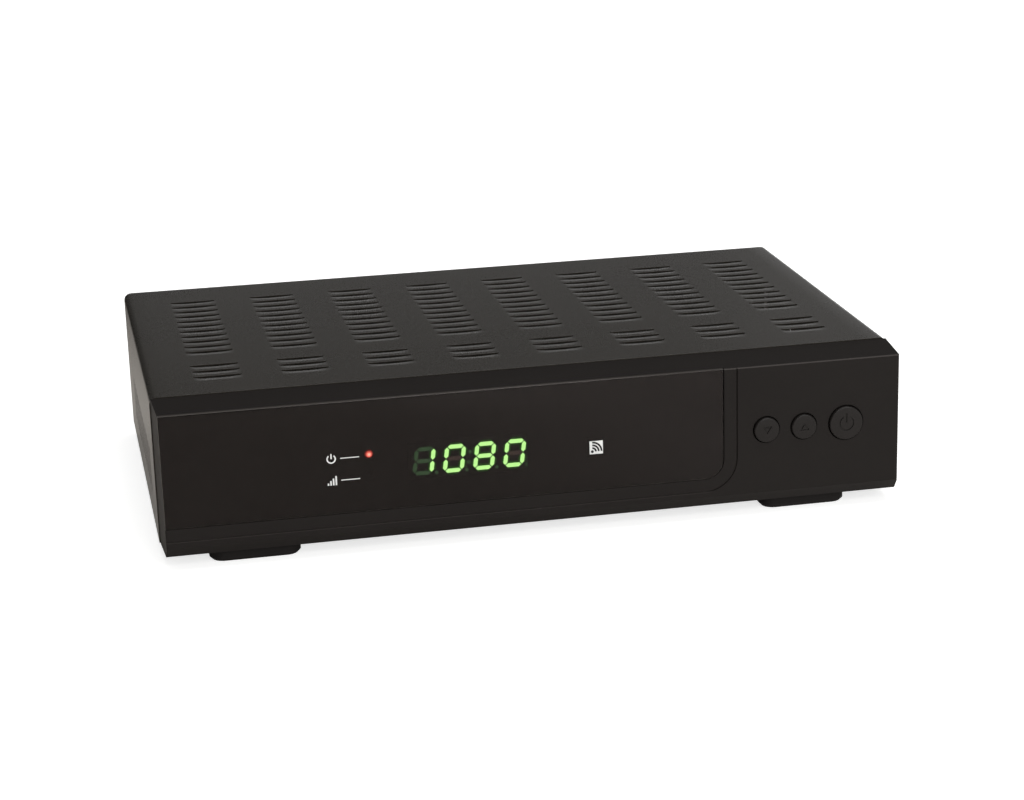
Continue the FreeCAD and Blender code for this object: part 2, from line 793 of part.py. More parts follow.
def wall_hole(body, name, low, spans):
    """Cut a rectangle through the rear wall; low and spans are in x and z."""
    block(body, name, (low[0], f"{REAR_IN} - 1", low[1]), (spans[0], "sheet + 2", spans[1]), cut=True)


# ---------------------------------------------------------------- tray
def standoff_places():
    """Centres of the standoffs under the two boards."""
    places = []
    for left, right, length in (
        (POWER_LEFT, POWER_RIGHT, "power_board_length"),
        (MAIN_LEFT, MAIN_RIGHT, "main_board_length"),
    ):
        for x in (f"({left} + board_hole_inset)", f"({right} - board_hole_inset)"):
            places.append((x, f"({BOARD_BACK} - {length} + board_hole_inset)"))
            places.append((x, f"({BOARD_BACK} - board_hole_reach)"))
    return places


def tray_shell(body):
    """Floor with its upturned sides and front flange."""
    floor = (f"2 * {TRAY_HALF}", f"{REAR_OUT} - {TRAY_FRONT}", "sheet")
    block(body, "Floor", (f"-{TRAY_HALF}", TRAY_FRONT, "0"), floor)
    side = ("sheet", f"{REAR_IN} - {TRAY_FRONT}", "flange_height")
    block(body, "LeftFlange", (f"-{TRAY_HALF}", TRAY_FRONT, "0"), side)
    block(body, "RightFlange", (f"{TRAY_HALF} - sheet", TRAY_FRONT, "0"), side)
    block(body, "FrontFlange", (f"-{TRAY_HALF}", TRAY_FRONT, "0"), (f"2 * {TRAY_HALF}", "sheet", "flange_height"))

    def fold(box):
        lengthwise = along_y(box) and near(abs(box.XMin), TRAY_HALF)
        crosswise = along_x(box) and near(box.YMin, TRAY_FRONT)
        return (lengthwise or crosswise) and abs(box.ZMin) < 0.01 and abs(box.ZMax) < 0.01

    dress(body, "Folds", "Fillet", fold, "sheet")


def tray_standoffs(body):
    """Hexagon standoffs riveted to the floor, each with a blind screw hole."""
    for n, (x, y) in enumerate(standoff_places()):
        prism(body, f"Standoff{n}", (x, y, "sheet / 2"), "standoff_radius", "standoff_height + sheet / 2", sides=6)
        prism(body, f"Pilot{n}", (x, y, "sheet * 1.5"), "screw_radius + screw_bite_gap", "standoff_height", cut=True)


def tray_vents(body):
    """Two rows of cooling slots in the floor."""
    start = (f"{MAIN_LEFT} + floor_vent_inset", "floor_vent_start", "-1")
    slot = block(body, "FloorSlot", start, ("floor_vent_width", "floor_vent_length", "sheet + 2"), cut=True)
    rows = ("Y_Axis", "floor_vent_row_pitch", 2)
    grid(body, "FloorSlots", [slot], ("X_Axis", "13 * floor_vent_pitch", 14), rows)


def panel_shell(body):
    """Rear wall, folded forward at its foot to lie on the floor."""
    block(body, "Wall", (f"-{TRAY_HALF}", REAR_IN, "sheet"), (f"2 * {TRAY_HALF}", "sheet", f"{WALL_TOP} - sheet"))
    lip_half = f"({TRAY_HALF} - sheet - fit_gap)"
    lip = (f"2 * {lip_half}", "panel_lip + sheet", "sheet")
    block(body, "Lip", (f"-{lip_half}", f"{REAR_IN} - panel_lip", "sheet"), lip)

    def fold(box):
        return along_x(box) and near(box.YMin, REAR_OUT) and near(box.ZMin, "sheet")

    dress(body, "Fold", "Fillet", fold, "sheet / 2")
    dress(body, "WallCorners", "Fillet", lambda box: along_y(box) and near(box.ZMin, WALL_TOP), "cover_bend")


def panel_holes(body):
    """Holes in the rear wall for the sockets, the inlet and the switch."""
    for n, (x, z) in enumerate(f_places()):
        rod(body, f"FHole{n}", (x, f"{REAR_IN} - 1", z), "f_radius + f_hole_gap", "sheet + 2", "y", cut=True)
    edge = "wall_hole_gap"
    for name in ("ethernet", "usb", "hdmi"):
        low = (f"{socket_left(f'{name}_width')} - {edge}", f"{BOARD_TOP} - 0.1")
        wall_hole(body, f"{name}_hole", low, (f"{name}_width + 2 * {edge}", f"{name}_rise + {edge}"))
    low = (f"{socket_left('scart_width')} + scart_end - {edge}", f"{BOARD_TOP} + scart_nose_level - {edge}")
    spans = (f"scart_width - 2 * scart_end + 2 * {edge}", f"scart_nose_rise + 2 * {edge}")
    wall_hole(body, "ScartHole", low, spans)
    tower = socket_middle("jack_tower_width")
    for n, z in enumerate(jack_levels()):
        start = (tower, f"{REAR_IN} - 1", z)
        rod(body, f"JackHole{n}", start, "jack_radius + jack_collar + f_hole_gap", "sheet + 2", "y", cut=True)
    low = (f"{INLET_X} - inlet_width / 2 + 1 - {edge}", f"{INLET_Z} - inlet_rise / 2 + 1 - {edge}")
    wall_hole(body, "InletHole", low, (f"inlet_width - 2 + 2 * {edge}", f"inlet_rise - 2 + 2 * {edge}"))
    low = (f"{ROCKER_X} - rocker_case_width / 2 + 0.5 - {edge}", f"{ROCKER_Z} - rocker_case_rise / 2 + 0.5 - {edge}")
    spans = (f"rocker_case_width - 1 + 2 * {edge}", f"rocker_case_rise - 1 + 2 * {edge}")
    wall_hole(body, "RockerHole", low, spans)


def cover_tab_places():
    spread = f"({HALF} - side_ear_inset)"
    return (f"-{spread}", "-middle_ear_offset", spread)


FOOT_LEFT = f"(foot_left_inset + foot_width / 2 - {HALF})"
FOOT_RIGHT = f"({HALF} - foot_right_inset - foot_width / 2)"


def foot_screw_places():
    """Centres of the four screws that hold the feet."""
    front = "(foot_front + foot_screw_setback)"
    back = "(housing_depth - foot_back_inset - foot_length + foot_screw_setback)"
    return tuple((x, y) for y in (front, back) for x in (FOOT_LEFT, FOOT_RIGHT))


def base_chassis():
    body = new_body("base_chassis")
    tray_shell(body)
    tray_standoffs(body)
    tray_vents(body)
    for n, (x, z) in enumerate(fascia_screw_places()):
        start = (x, f"{TRAY_FRONT} - 1", z)
        prism(body, f"FasciaHole{n}", start, "screw_radius + screw_hole_gap", "sheet + 2", "y", cut=True)
    for n, (x, y) in enumerate(foot_screw_places()):
        prism(body, f"FootHole{n}", (x, y, "-1"), "foot_screw_radius + screw_bite_gap", "sheet + 2", cut=True)
    seat(body)


def rear_panel():
    body = new_body("rear_panel")
    panel_shell(body)
    panel_holes(body)
    for n, x in enumerate(cover_tab_places()):
        start = (x, f"{REAR_IN} - 1", "housing_height - ear_screw_drop")
        prism(body, f"TabHole{n}", start, "screw_radius + screw_bite_gap", "sheet + 2", "y", cut=True)
    seat(body)


# ---------------------------------------------------------------- cover
COVER_FRONT = TRAY_FRONT
LOUVRE_SPREAD = "(housing_width - 2 * louvre_side_margin)"


def cover_shell(body):
    """Bend the sheet over the tray as one long channel."""
    inner = f"({HALF} - sheet)"
    low = "fit_gap"
    points = (
        (f"-{HALF}", low),
        (f"-{inner}", low),
        (f"-{inner}", "housing_height - sheet"),
        (inner, "housing_height - sheet"),
        (inner, low),
        (HALF, low),
        (HALF, "housing_height"),
        (f"-{HALF}", "housing_height"),
    )
    channel = polygon(new_sketch(body, "Channel", "XZ_Plane", f"-{COVER_FRONT}"), points)
    pad(body, "Bent", channel, f"housing_depth - {COVER_FRONT}", backwards=True)
    dress(
        body,
        "OuterBend",
        "Fillet",
        lambda box: along_y(box) and near(box.ZMin, "housing_height"),
        "cover_bend",
    )
    dress(
        body,
        "InnerBend",
        "Fillet",
        lambda box: along_y(box) and near(box.ZMin, "housing_height - sheet") and near(abs(box.XMin), inner),
        "cover_bend - sheet",
    )


def cover_tabs(body):
    """Three ears folded down over the rear wall, each with a screw hole."""
    for n, x in enumerate(cover_tab_places()):
        low = (f"{x} - ear_width / 2", REAR_OUT, "housing_height - ear_drop")
        block(body, f"Ear{n}", low, ("ear_width", "sheet", "ear_drop - sheet / 2"))
        start = (x, f"{REAR_OUT} - 1", "housing_height - ear_screw_drop")
        prism(body, f"EarHole{n}", start, "screw_radius + screw_hole_gap", "sheet + 2", "y", cut=True)


def louvre(body, name, back_edge):
    """One louvre: a lanced opening whose front lip is pressed down."""
    left = f"-{LOUVRE_SPREAD} / 2 - louvre_length / 2"
    lip_start = f"({back_edge} - louvre_opening - louvre_lip)"
    plane = new_sketch(body, f"{name}Opening", "XY_Plane", "housing_height")
    rectangle(plane, left, lip_start, f"{left} + louvre_length", back_edge)
    cut = body.newObject("PartDesign::Pocket", f"{name}Cut")
    cut.Profile = plane
    bind(cut, "Length", "sheet * 1.5")
    profile = new_sketch(body, f"{name}LipProfile", "YZ_Plane", left)
    tip = f"{back_edge} - louvre_opening"
    points = (
        (lip_start, "housing_height"),
        (lip_start, "housing_height - sheet"),
        (tip, "housing_height - sheet - louvre_dip"),
        (tip, "housing_height - louvre_dip"),
    )
    lip = pad(body, f"{name}Lip", polygon(profile, points), "louvre_length")
    return [cut, lip]


def cover_louvres(body):
    """Eight columns: a long block behind and a short block in front."""
    rear_first = "(housing_depth - louvre_back_margin - 10 * louvre_pitch)"
    rear = louvre(body, "Rear", rear_first)
    grid(body, "RearLouvres", rear, ("X_Axis", LOUVRE_SPREAD, 8), ("Y_Axis", "10 * louvre_pitch", 11))
    front = louvre(body, "Front", "(fascia_depth + louvre_front_margin)")
    grid(body, "FrontLouvres", front, ("X_Axis", LOUVRE_SPREAD, 8), ("Y_Axis", "2 * louvre_pitch", 3))


def cover_side_vents(body):
    """A row of upright slots through both sides."""
    start = "fascia_depth + side_vent_start"
    sketch = new_sketch(body, "SideSlot", "YZ_Plane")
    rectangle(sketch, start, "side_vent_level", f"{start} + side_vent_width", "side_vent_level + side_vent_rise")
    slot = pocket_through(body, "SideCut", sketch)
    grid(body, "SideVents", [slot], ("Y_Axis", "12 * side_vent_pitch", 13))


def top_cover():
    body = new_body("top_cover")
    cover_shell(body)
    cover_tabs(body)
    cover_side_vents(body)
    cover_louvres(body)
    seat(body)


def cover_screws():
    body = new_body("cover_screws")
    for n, x in enumerate(cover_tab_places()):
        screw_along_y(body, f"Screw{n}", x, "housing_depth", "housing_height - ear_screw_drop", "2 * sheet + 4")
    seat(body)


# ---------------------------------------------------------------- feet
def foot(label, x, y):
    """Moulded pad with rounded corners and a well for its screw."""
    body = new_body(label)
    low = ("-foot_width / 2", "0", "-foot_height")
    block(body, "Pad", low, ("foot_width", "foot_length", "foot_height"))
    dress(body, "Corners", "Fillet", upright, "foot_corner")
    dress(body, "Sole", "Chamfer", lambda box: near(box.ZMax, "-foot_height"), "foot_sole_break")
    centre = ("0", "foot_screw_setback")
    prism(body, "Well", (*centre, "-foot_height - 1"), "screw_head_radius + 0.6", "foot_height - 0.4", cut=True)
    prism(body, "Hole", (*centre, "-foot_height"), "foot_screw_radius + screw_bite_gap", "foot_height + 1", cut=True)
    seat(body, x=x, y=y)


def foot_screws():
    body = new_body("foot_screws")
    for n, (x, y) in enumerate(foot_screw_places()):
        under = "(-1.4)"
        prism(body, f"Head{n}", (x, y, f"{under} - screw_head_height"), "screw_head_radius", "screw_head_height")
        prism(body, f"Shank{n}", (x, y, under), "foot_screw_radius", "sheet + 1.4 + 3")
    seat(body)


# ---------------------------------------------------------------- boards
def flat_board(label, left, right, length, holes):
    body = new_body(label)
    low = (left, f"{BOARD_BACK} - {length}", BOARD_LEVEL)
    block(body, "Laminate", low, (f"{right} - {left}", length, "board_thickness"))
    for n, (x, y) in enumerate(holes):
        start = (x, y, f"{BOARD_LEVEL} - 1")
        prism(body, f"Hole{n}", start, "screw_radius + screw_hole_gap", "board_thickness + 2", cut=True)
    return body


def screws_down(label, places):
    body = new_body(label)
    for n, (x, y) in enumerate(places):
        prism(body, f"Head{n}", (x, y, BOARD_TOP), "screw_head_radius", "screw_head_height")
        length = "board_thickness + standoff_height * 0.7"
        prism(body, f"Shank{n}", (x, y, f"{BOARD_TOP} - ({length})"), "screw_radius", length)
    seat(body)


def boards():
    places = standoff_places()
    power = flat_board("power_supply_board", POWER_LEFT, POWER_RIGHT, "power_board_length", places[:4])
    header = ("header_depth", "harness_header_length", "header_rise")
    harness_low = (f"{POWER_RIGHT} - 8", f"{HARNESS_Y} - harness_header_length / 2", BOARD_TOP)
    block(power, "HarnessHeader", harness_low, header)
    seat(power)
    main = flat_board("main_circuit_board", MAIN_LEFT, MAIN_RIGHT, "main_board_length", places[4:])
    harness_low = (f"{MAIN_LEFT} + 3", f"{HARNESS_Y} - harness_header_length / 2", BOARD_TOP)
    block(main, "HarnessHeader", harness_low, header)
    ribbon_low = ("eye_offset - ribbon_header_width / 2", f"{BOARD_BACK} - main_board_length + 3", BOARD_TOP)
    block(main, "RibbonHeader", ribbon_low, ("ribbon_header_width", "header_depth", "header_rise"))
    seat(main)
    screws_down("power_board_screws", places[:4])
    screws_down("main_board_screws", places[4:])


# ---------------------------------------------------------------- main board pieces
def tuner_can():
    """Screened box with tuning holes in its lid, behind the two aerial sockets."""
    body = new_body("tuner_can")
    low = (socket_left("tuner_width"), f"{SOCKET_BACK} - tuner_length", BOARD_TOP)
    block(body, "Screen", low, ("tuner_width", "tuner_length", "tuner_rise"))
    dress(body, "ScreenBreak", "Chamfer", upright, "0.8")
    middle = f"{SOCKET_BACK} - tuner_length / 2"
    for n in range(3):
        x = f"{socket_left('tuner_width')} + tuner_width * {0.2 + 0.3 * n}"
        prism(body, f"TrimHole{n}", (x, middle, f"{BOARD_TOP} + tuner_rise - 2"), "2", "3", cut=True)
    seat(body)


def lnb_connector(label, place):
    """Aerial barrel: a relief under the nut, a thread length and a recessed end."""
    x, z = place
    body = new_body(label)
    length = f"({REAR_OUT} + f_reach - {SOCKET_BACK})"
    relief = f"({REAR_OUT} + nut_height + 0.1 - {SOCKET_BACK})"
    prism(body, "Relief", ("0", "0", "0"), "f_radius - f_hole_gap", relief, "y", sides=16)
    rod(body, "Barrel", ("0", relief, "0"), "f_radius", f"{length} - {relief}", "y")
    dress(body, "EndBreak", "Chamfer", lambda box: near(box.YMin, length), "0.5")
    prism(body, "Bore", ("0", f"{length} - f_bore", "0"), "f_radius - f_wall", "f_bore + 1", "y", sides=16, cut=True)
    seat(body, x=x, y=SOCKET_BACK, z=z)


def lnb_insulators():
    """White insulators inside the barrels, each with a hole for the pin."""
    body = new_body("lnb_insulators")
    for n, (x, z) in enumerate(f_places()):
        start = f"{REAR_OUT} + f_reach - f_bore"
        prism(body, f"Plug{n}", (x, start, z), "f_radius - f_wall", "f_bore - 0.6", "y", sides=16)
        prism(body, f"PinHole{n}", (x, f"{start} + 1", z), "0.55", "6", "y", cut=True)
    seat(body)


def lnb_nuts():
    """Hexagon nuts that draw the barrels up against the rear wall."""
    body = new_body("lnb_nuts")
    for n, (x, z) in enumerate(f_places()):
        corner = "nut_flats / 2 / cos(30)"
        points = []
        for step in range(6):
            angle = 60 * step
            points.append((f"{x} + {corner} * cos({angle})", f"{z} + {corner} * sin({angle})"))
        outline = polygon(new_sketch(body, f"Hexagon{n}", "XZ_Plane", f"-{REAR_OUT}"), points)
        circle(outline, x, z, "f_radius - 0.1")
        pad(body, f"Nut{n}", outline, "nut_height", backwards=True)
    seat(body)


def scart_socket():
    """Wide socket with one slanted end and a slotted contact block."""
    body = new_body("scart_socket")
    left = socket_left("scart_width")
    case_low = (left, f"{SOCKET_BACK} - scart_depth", BOARD_TOP)
    block(body, "Case", case_low, ("scart_width", "scart_depth", "scart_rise"))
    nose = new_sketch(body, "NoseOutline", "XZ_Plane", f"-{SOCKET_BACK}")
    low = f"{BOARD_TOP} + scart_nose_level"
    nose_left = f"{left} + scart_end"
    nose_right = f"{left} + scart_width - scart_end"
    points = (
        (nose_left, low),
        (f"{nose_right} - 4", low),
        (nose_right, f"{low} + 5"),
        (nose_right, f"{low} + scart_nose_rise"),
        (nose_left, f"{low} + scart_nose_rise"),
    )
    pad(body, "Nose", polygon(nose, points), f"2 * sheet + 0.1", backwards=True)
    rim = new_sketch(body, "WellOutline", "XZ_Plane", f"-{SOCKET_BACK} - 2 * sheet - 0.1")
    inner = (
        (f"{nose_left} + scart_rim", f"{low} + scart_rim"),
        (f"{nose_right} - 4.5", f"{low} + scart_rim"),
        (f"{nose_right} - scart_rim", f"{low} + 5.4"),
        (f"{nose_right} - scart_rim", f"{low} + scart_nose_rise - scart_rim"),
        (f"{nose_left} + scart_rim", f"{low} + scart_nose_rise - scart_rim"),
    )
    well = body.newObject("PartDesign::Pocket", "Well")
    well.Profile = polygon(rim, inner)
    well.Reversed = True
    bind(well, "Length", "scart_well")
    core = (f"{left} + 8.4", f"{SOCKET_BACK} - scart_well", f"{low} + 3.6")
    block(body, "ContactBlock", core, ("scart_width - 18", "scart_well + sheet", "9.8"))
    slot_low = (f"{left} + 10.4", f"{SOCKET_BACK} - 6", f"{low} + 5.4")
    slot = block(body, "Slot", slot_low, ("0.9", "10", "2.4"), cut=True)
    grid(body, "Slots", [slot], ("X_Axis", "9 * 4", 10), ("Z_Axis", "3.8", 2))
    seat(body)


SOCKET_MOUTH = f"({REAR_OUT} + socket_proud)"


def framed_socket(name):
    """A screened socket: metal mouth with a contact tongue inside."""
    body = new_body(f"{name}_socket")
    left = socket_left(f"{name}_width")
    width, rise, wall, tongue = (f"{name}_{part}" for part in ("width", "rise", "wall", "tongue"))
    back = f"({SOCKET_MOUTH} - {name}_length)"
    block(body, "Shell", (left, back, BOARD_TOP), (width, f"{name}_length", rise))
    low = (f"{left} + {wall}", f"{back} + 3", f"{BOARD_TOP} + {wall}")
    block(body, "Mouth", low, (f"{width} - 2 * {wall}", f"{name}_length", f"{rise} - 2 * {wall}"), cut=True)
    start = (f"{left} + {wall} + 1.4", f"{back} + 2.5", f"{BOARD_TOP} + ({rise} - {tongue}) / 2")
    block(body, "Tongue", start, (f"{width} - 2 * {wall} - 2.8", f"{name}_length - 3.6", tongue))
    seat(body)


def ethernet_socket():
    """Network socket with a latch step in the roof of its mouth."""
    body = new_body("ethernet_socket")
    left = socket_left("ethernet_width")
    shell = ("ethernet_width", "ethernet_length", "ethernet_rise")
    block(body, "Shell", (left, f"{SOCKET_MOUTH} - ethernet_length", BOARD_TOP), shell)
    back = f"{SOCKET_MOUTH} - ethernet_mouth_depth"
    depth = "ethernet_mouth_depth + 1"
    low = (f"{left} + (ethernet_width - ethernet_mouth_width) / 2", back, f"{BOARD_TOP} + 1.2")
    block(body, "Mouth", low, ("ethernet_mouth_width", depth, "ethernet_mouth_rise"), cut=True)
    step = (f"{left} + (ethernet_width - latch_width) / 2", back, f"{BOARD_TOP} + ethernet_mouth_rise + 0.6")
    block(body, "LatchStep", step, ("latch_width", depth, "latch_rise"), cut=True)
    seat(body)


def av_jack_tower():
    """Upright block that carries three phono jacks."""
    body = new_body("av_jack_tower")
    left = socket_left("jack_tower_width")
    low = (left, f"{SOCKET_BACK} - jack_tower_depth", BOARD_TOP)
    block(body, "Block", low, ("jack_tower_width", "jack_tower_depth", "2 * jack_pitch + 2 * jack_first_level"))
    middle = socket_middle("jack_tower_width")
    for n, z in enumerate(jack_levels()):
        start = (middle, SOCKET_BACK, z)
        prism(body, f"Nose{n}", start, "jack_radius + jack_collar", f"{JACK_FACE} - {SOCKET_BACK}", "y", sides=24)
        prism(body, f"Bore{n}", (middle, f"{SOCKET_BACK} - 8", z), "jack_pin_radius", "12", "y", cut=True)
    seat(body)


def jack_sleeves():
    """The three plated shells that the plugs grip."""
    body = new_body("jack_sleeves")
    middle = socket_middle("jack_tower_width")
    for n, z in enumerate(jack_levels()):
        rod(body, f"Shell{n}", (middle, JACK_FACE, z), "jack_radius", "jack_reach", "y")
    dress(body, "ShellBreak", "Chamfer", lambda box: near(box.YMin, f"{JACK_FACE} + jack_reach"), "0.3")
    for n, z in enumerate(jack_levels()):
        start = (middle, f"{JACK_FACE} - 1", z)
        prism(body, f"Bore{n}", start, "jack_radius - jack_wall", "jack_reach + 2", "y", sides=24, cut=True)
    seat(body)


def jack_insulator(label, level):
    """Coloured sleeve inside a shell, open for the plug's pin."""
    body = new_body(label)
    prism(body, "Sleeve", ("0", "0", "0"), "jack_radius - jack_wall - 0.05", "jack_reach - 0.8", "y", sides=24)
    prism(body, "PinHole", ("0", "-1", "0"), "jack_pin_radius", "jack_reach + 2", "y", cut=True)
    seat(body, x=socket_middle("jack_tower_width"), y=JACK_FACE, z=level)


DECODER_Y = f"({BOARD_BACK} - decoder_setback)"


def decoder_parts():
    """The decoder, its finned sink and the memory beside it."""
    chip = new_body("decoder_chip")
    low = ("decoder_offset - decoder_side / 2", f"{DECODER_Y} - decoder_side / 2", BOARD_TOP)
    block(chip, "Case", low, ("decoder_side", "decoder_side", "decoder_rise"))
    seat(chip)
    sink = new_body("decoder_heat_sink")
    left, front = "decoder_offset - sink_side / 2", f"{DECODER_Y} - sink_side / 2"
    base = f"({BOARD_TOP} + decoder_rise)"
    block(sink, "Base", (left, front, base), ("sink_side", "sink_side", "sink_base"))
    fin = block(sink, "Fin", (left, front, f"{base} + sink_base / 2"), ("sink_fin", "sink_side", "sink_fin_rise"))
    grid(sink, "Fins", [fin], ("X_Axis", "sink_side - sink_fin", 8))
    seat(sink)
    memory = new_body("memory_chips")
    case = ("memory_width", "memory_length", "memory_rise")
    for n, y in enumerate((f"{DECODER_Y} - memory_length - 1", f"{DECODER_Y} + 4")):
        block(memory, f"Memory{n}", ("decoder_offset + memory_offset", y, BOARD_TOP), case)
    seat(memory)


def capacitors(label, places, radius, rise):
    """Upright cans on a board."""
    body = new_body(label)
    for n, (x, y) in enumerate(places):
        prism(body, f"Can{n}", (x, y, BOARD_TOP), radius, rise, sides=12)
    seat(body)


# ---------------------------------------------------------------- power supply pieces
def transformer():
    """Ferrite frame with a wound bobbin on its middle leg."""
    x, y = f"({POWER_LEFT} + 24)", f"({BOARD_BACK} - 60)"
    core = new_body("transformer_core")
    block(core, "Frame", (f"{x} - 14", f"{y} - 5", BOARD_TOP), ("28", "10", "25"))
    window = (f"{x} - 10", f"{y} - 6", f"{BOARD_TOP} + 4")
    block(core, "Window0", window, ("6", "12", "17"), cut=True)
    block(core, "Window1", (f"{x} + 4", window[1], window[2]), ("6", "12", "17"), cut=True)
    seat(core)
    winding = new_body("transformer_winding")
    block(winding, "Wire", (f"{x} - 9.7", f"{y} - 11", f"{BOARD_TOP} + 4.3"), ("19.4", "22", "16.4"))
    dress(winding, "WireRound", "Chamfer", upright, "3")
    block(winding, "Leg", (f"{x} - 4.2", f"{y} - 5.2", f"{BOARD_TOP} + 4"), ("8.4", "10.4", "20"), cut=True)
    seat(winding)


def power_parts():
    choke = new_body("mains_choke")
    x, y = f"({POWER_LEFT} + 34)", f"({BOARD_BACK} - 26)"
    block(choke, "Former", (f"{x} - 8", f"{y} - 7", BOARD_TOP), ("16", "14", "3"))
    prism(choke, "Coil", (f"{x} - 8", y, f"{BOARD_TOP} + 9.4"), "7", "16", "x", sides=12)
    block(choke, "Slot", (f"{x} - 1", f"{y} - 8", f"{BOARD_TOP} + 3"), ("2", "16", "4"), cut=True)
    seat(choke)
    fuse = new_body("mains_fuse")
    x, y = f"({POWER_LEFT} + 5.5)", f"({BOARD_BACK} - 44)"
    prism(fuse, "Glass", (x, f"{y} - 10", f"{BOARD_TOP} + 5"), "2.6", "20", "y")
    clip = block(fuse, "Clip", (f"{x} - 3", f"{y} - 10", BOARD_TOP), ("6", "4", "5"))
    grid(fuse, "Clips", [clip], ("Y_Axis", "16", 2))
    seat(fuse)
    sink = new_body("power_heat_sink")
    low = (f"{POWER_RIGHT} - 11.6", f"{BOARD_BACK} - 96", BOARD_TOP)
    block(sink, "Plate", low, ("1.6", "20", "22"))
    block(sink, "Shelf", (f"{POWER_RIGHT} - 20", low[1], f"{BOARD_TOP} + 20.4"), ("10", "20", "1.6"))
    seat(sink)
    place = (f"({POWER_LEFT} + 13)", f"({BOARD_BACK} - 84)")
    capacitors("mains_capacitor", (place,), "mains_can_radius", "mains_can_rise")
    row = tuple((f"({POWER_LEFT} + {14 + 12 * n})", f"({BOARD_BACK} - 102)") for n in range(2))
    capacitors("output_capacitors", row, "small_can_radius", "output_can_rise")


def mains_inlet():
    """Two-pole mains inlet with its figure-of-eight well."""
    body = new_body("mains_inlet")
    half = "inlet_width / 2"
    low = (f"{INLET_X} - {half}", f"{SOCKET_BACK} - inlet_depth", BOARD_TOP)
    block(body, "Case", low, ("inlet_width", "inlet_depth", "inlet_rise"))
    nose = (f"{INLET_X} - {half} + 1", SOCKET_BACK, f"{BOARD_TOP} + 1")
    block(body, "Nose", nose, ("inlet_width - 2", "2 * sheet + 1.1", "inlet_rise - 2"))
    mouth = f"({REAR_OUT} + 1)"
    for name, side in (("Left", "-"), ("Right", "+")):
        start = (f"{INLET_X} {side} inlet_lobe_offset", f"{mouth} - inlet_well", INLET_Z)
        rod(body, f"{name}Lobe", start, "inlet_lobe_radius", "inlet_well + 1", "y", cut=True)
    low = (f"{INLET_X} - inlet_lobe_offset", f"{mouth} - inlet_well", f"{INLET_Z} - inlet_waist / 2")
    block(body, "Waist", low, ("2 * inlet_lobe_offset", "inlet_well + 1", "inlet_waist"), cut=True)
    seat(body)
    pins = new_body("mains_inlet_pins")
    for name, side in (("Left", "-"), ("Right", "+")):
        start = (f"{INLET_X} {side} inlet_pin_offset", f"{mouth} - inlet_well", INLET_Z)
        prism(pins, f"{name}Pin", start, "inlet_pin_radius", "inlet_pin_length", "y", sides=12)
    seat(pins)


ROCKER_AXIS_Y = f"({REAR_OUT} - rocker_axis_depth)"


def rocker_profile():
    """Side view about the axis, thrown over to one stop: (outwards, up)."""
    reach = "(rocker_case_rise / 2 - 0.5 - rocker_wall - 1)"
    crown = f"(2.6 + {reach} * tan(10))"
    middle_throw = (
        ("2.6", "0"),
        (crown, reach),
        ("1", reach),
        ("-3", "3"),
        ("-3", "-3"),
        ("1", f"-{reach}"),
        (crown, f"-{reach}"),
    )
    return tuple(
        (
            f"({out} * cos(rocker_swing) + {up} * sin(rocker_swing))",
            f"({up} * cos(rocker_swing) - {out} * sin(rocker_swing))",
        )
        for out, up in middle_throw
    )


def mains_switch():
    """Rocker switch: an open case with bearing holes, and its rocker."""
    case = new_body("mains_switch_case")
    half_x = "rocker_case_width / 2"
    half_z = "rocker_case_rise / 2"
    low = (f"{ROCKER_X} - {half_x} + 0.5", f"{SOCKET_BACK} - rocker_case_depth", f"{ROCKER_Z} - {half_z} + 0.5")
    spans = ("rocker_case_width - 1", f"{REAR_OUT} + 0.1 - {SOCKET_BACK} + rocker_case_depth", "rocker_case_rise - 1")
    block(case, "Case", low, spans)
    rim = (f"{ROCKER_X} - {half_x} - 0.5", REAR_OUT, f"{ROCKER_Z} - {half_z} - 0.5")
    block(case, "Bezel", rim, ("rocker_case_width + 1", "rocker_bezel", "rocker_case_rise + 1"))
    corner = "0.5 + rocker_wall"
    well = (f"{ROCKER_X} - {half_x} + {corner}", f"{REAR_OUT} - rocker_well", f"{ROCKER_Z} - {half_z} + {corner}")
    well_spans = ("rocker_case_width - 1 - 2 * rocker_wall", "rocker_well + 3", "rocker_case_rise - 1 - 2 * rocker_wall")
    block(case, "Well", well, well_spans, cut=True)
    hole = (f"{ROCKER_X} - {half_x} + 0.9", ROCKER_AXIS_Y, ROCKER_Z)
    rod(case, "Bearing", hole, "rocker_pin + 0.06", "rocker_case_width - 1.8", "x", cut=True)
    leg = (f"{ROCKER_X} - 3", f"{SOCKET_BACK} - rocker_case_depth + 1", BOARD_TOP)
    block(case, "Leg", leg, ("6", "6", f"{ROCKER_Z} - {half_z} + 0.6 - {BOARD_TOP}"))
    seat(case)
    rocker = new_body("mains_rocker")
    paddle_half = f"({half_x} - 0.5 - rocker_wall - 0.25)"
    outline = polygon(new_sketch(rocker, "RockerSide", "YZ_Plane", f"-{paddle_half}"), rocker_profile())
    pad(rocker, "Paddle", outline, f"2 * {paddle_half}")
    rod(rocker, "Axle", (f"-{paddle_half} - 0.6", "0", "0"), "rocker_pin", f"2 * {paddle_half} + 1.2", "x")
    seat(rocker, x=ROCKER_X, y=ROCKER_AXIS_Y, z=ROCKER_Z)


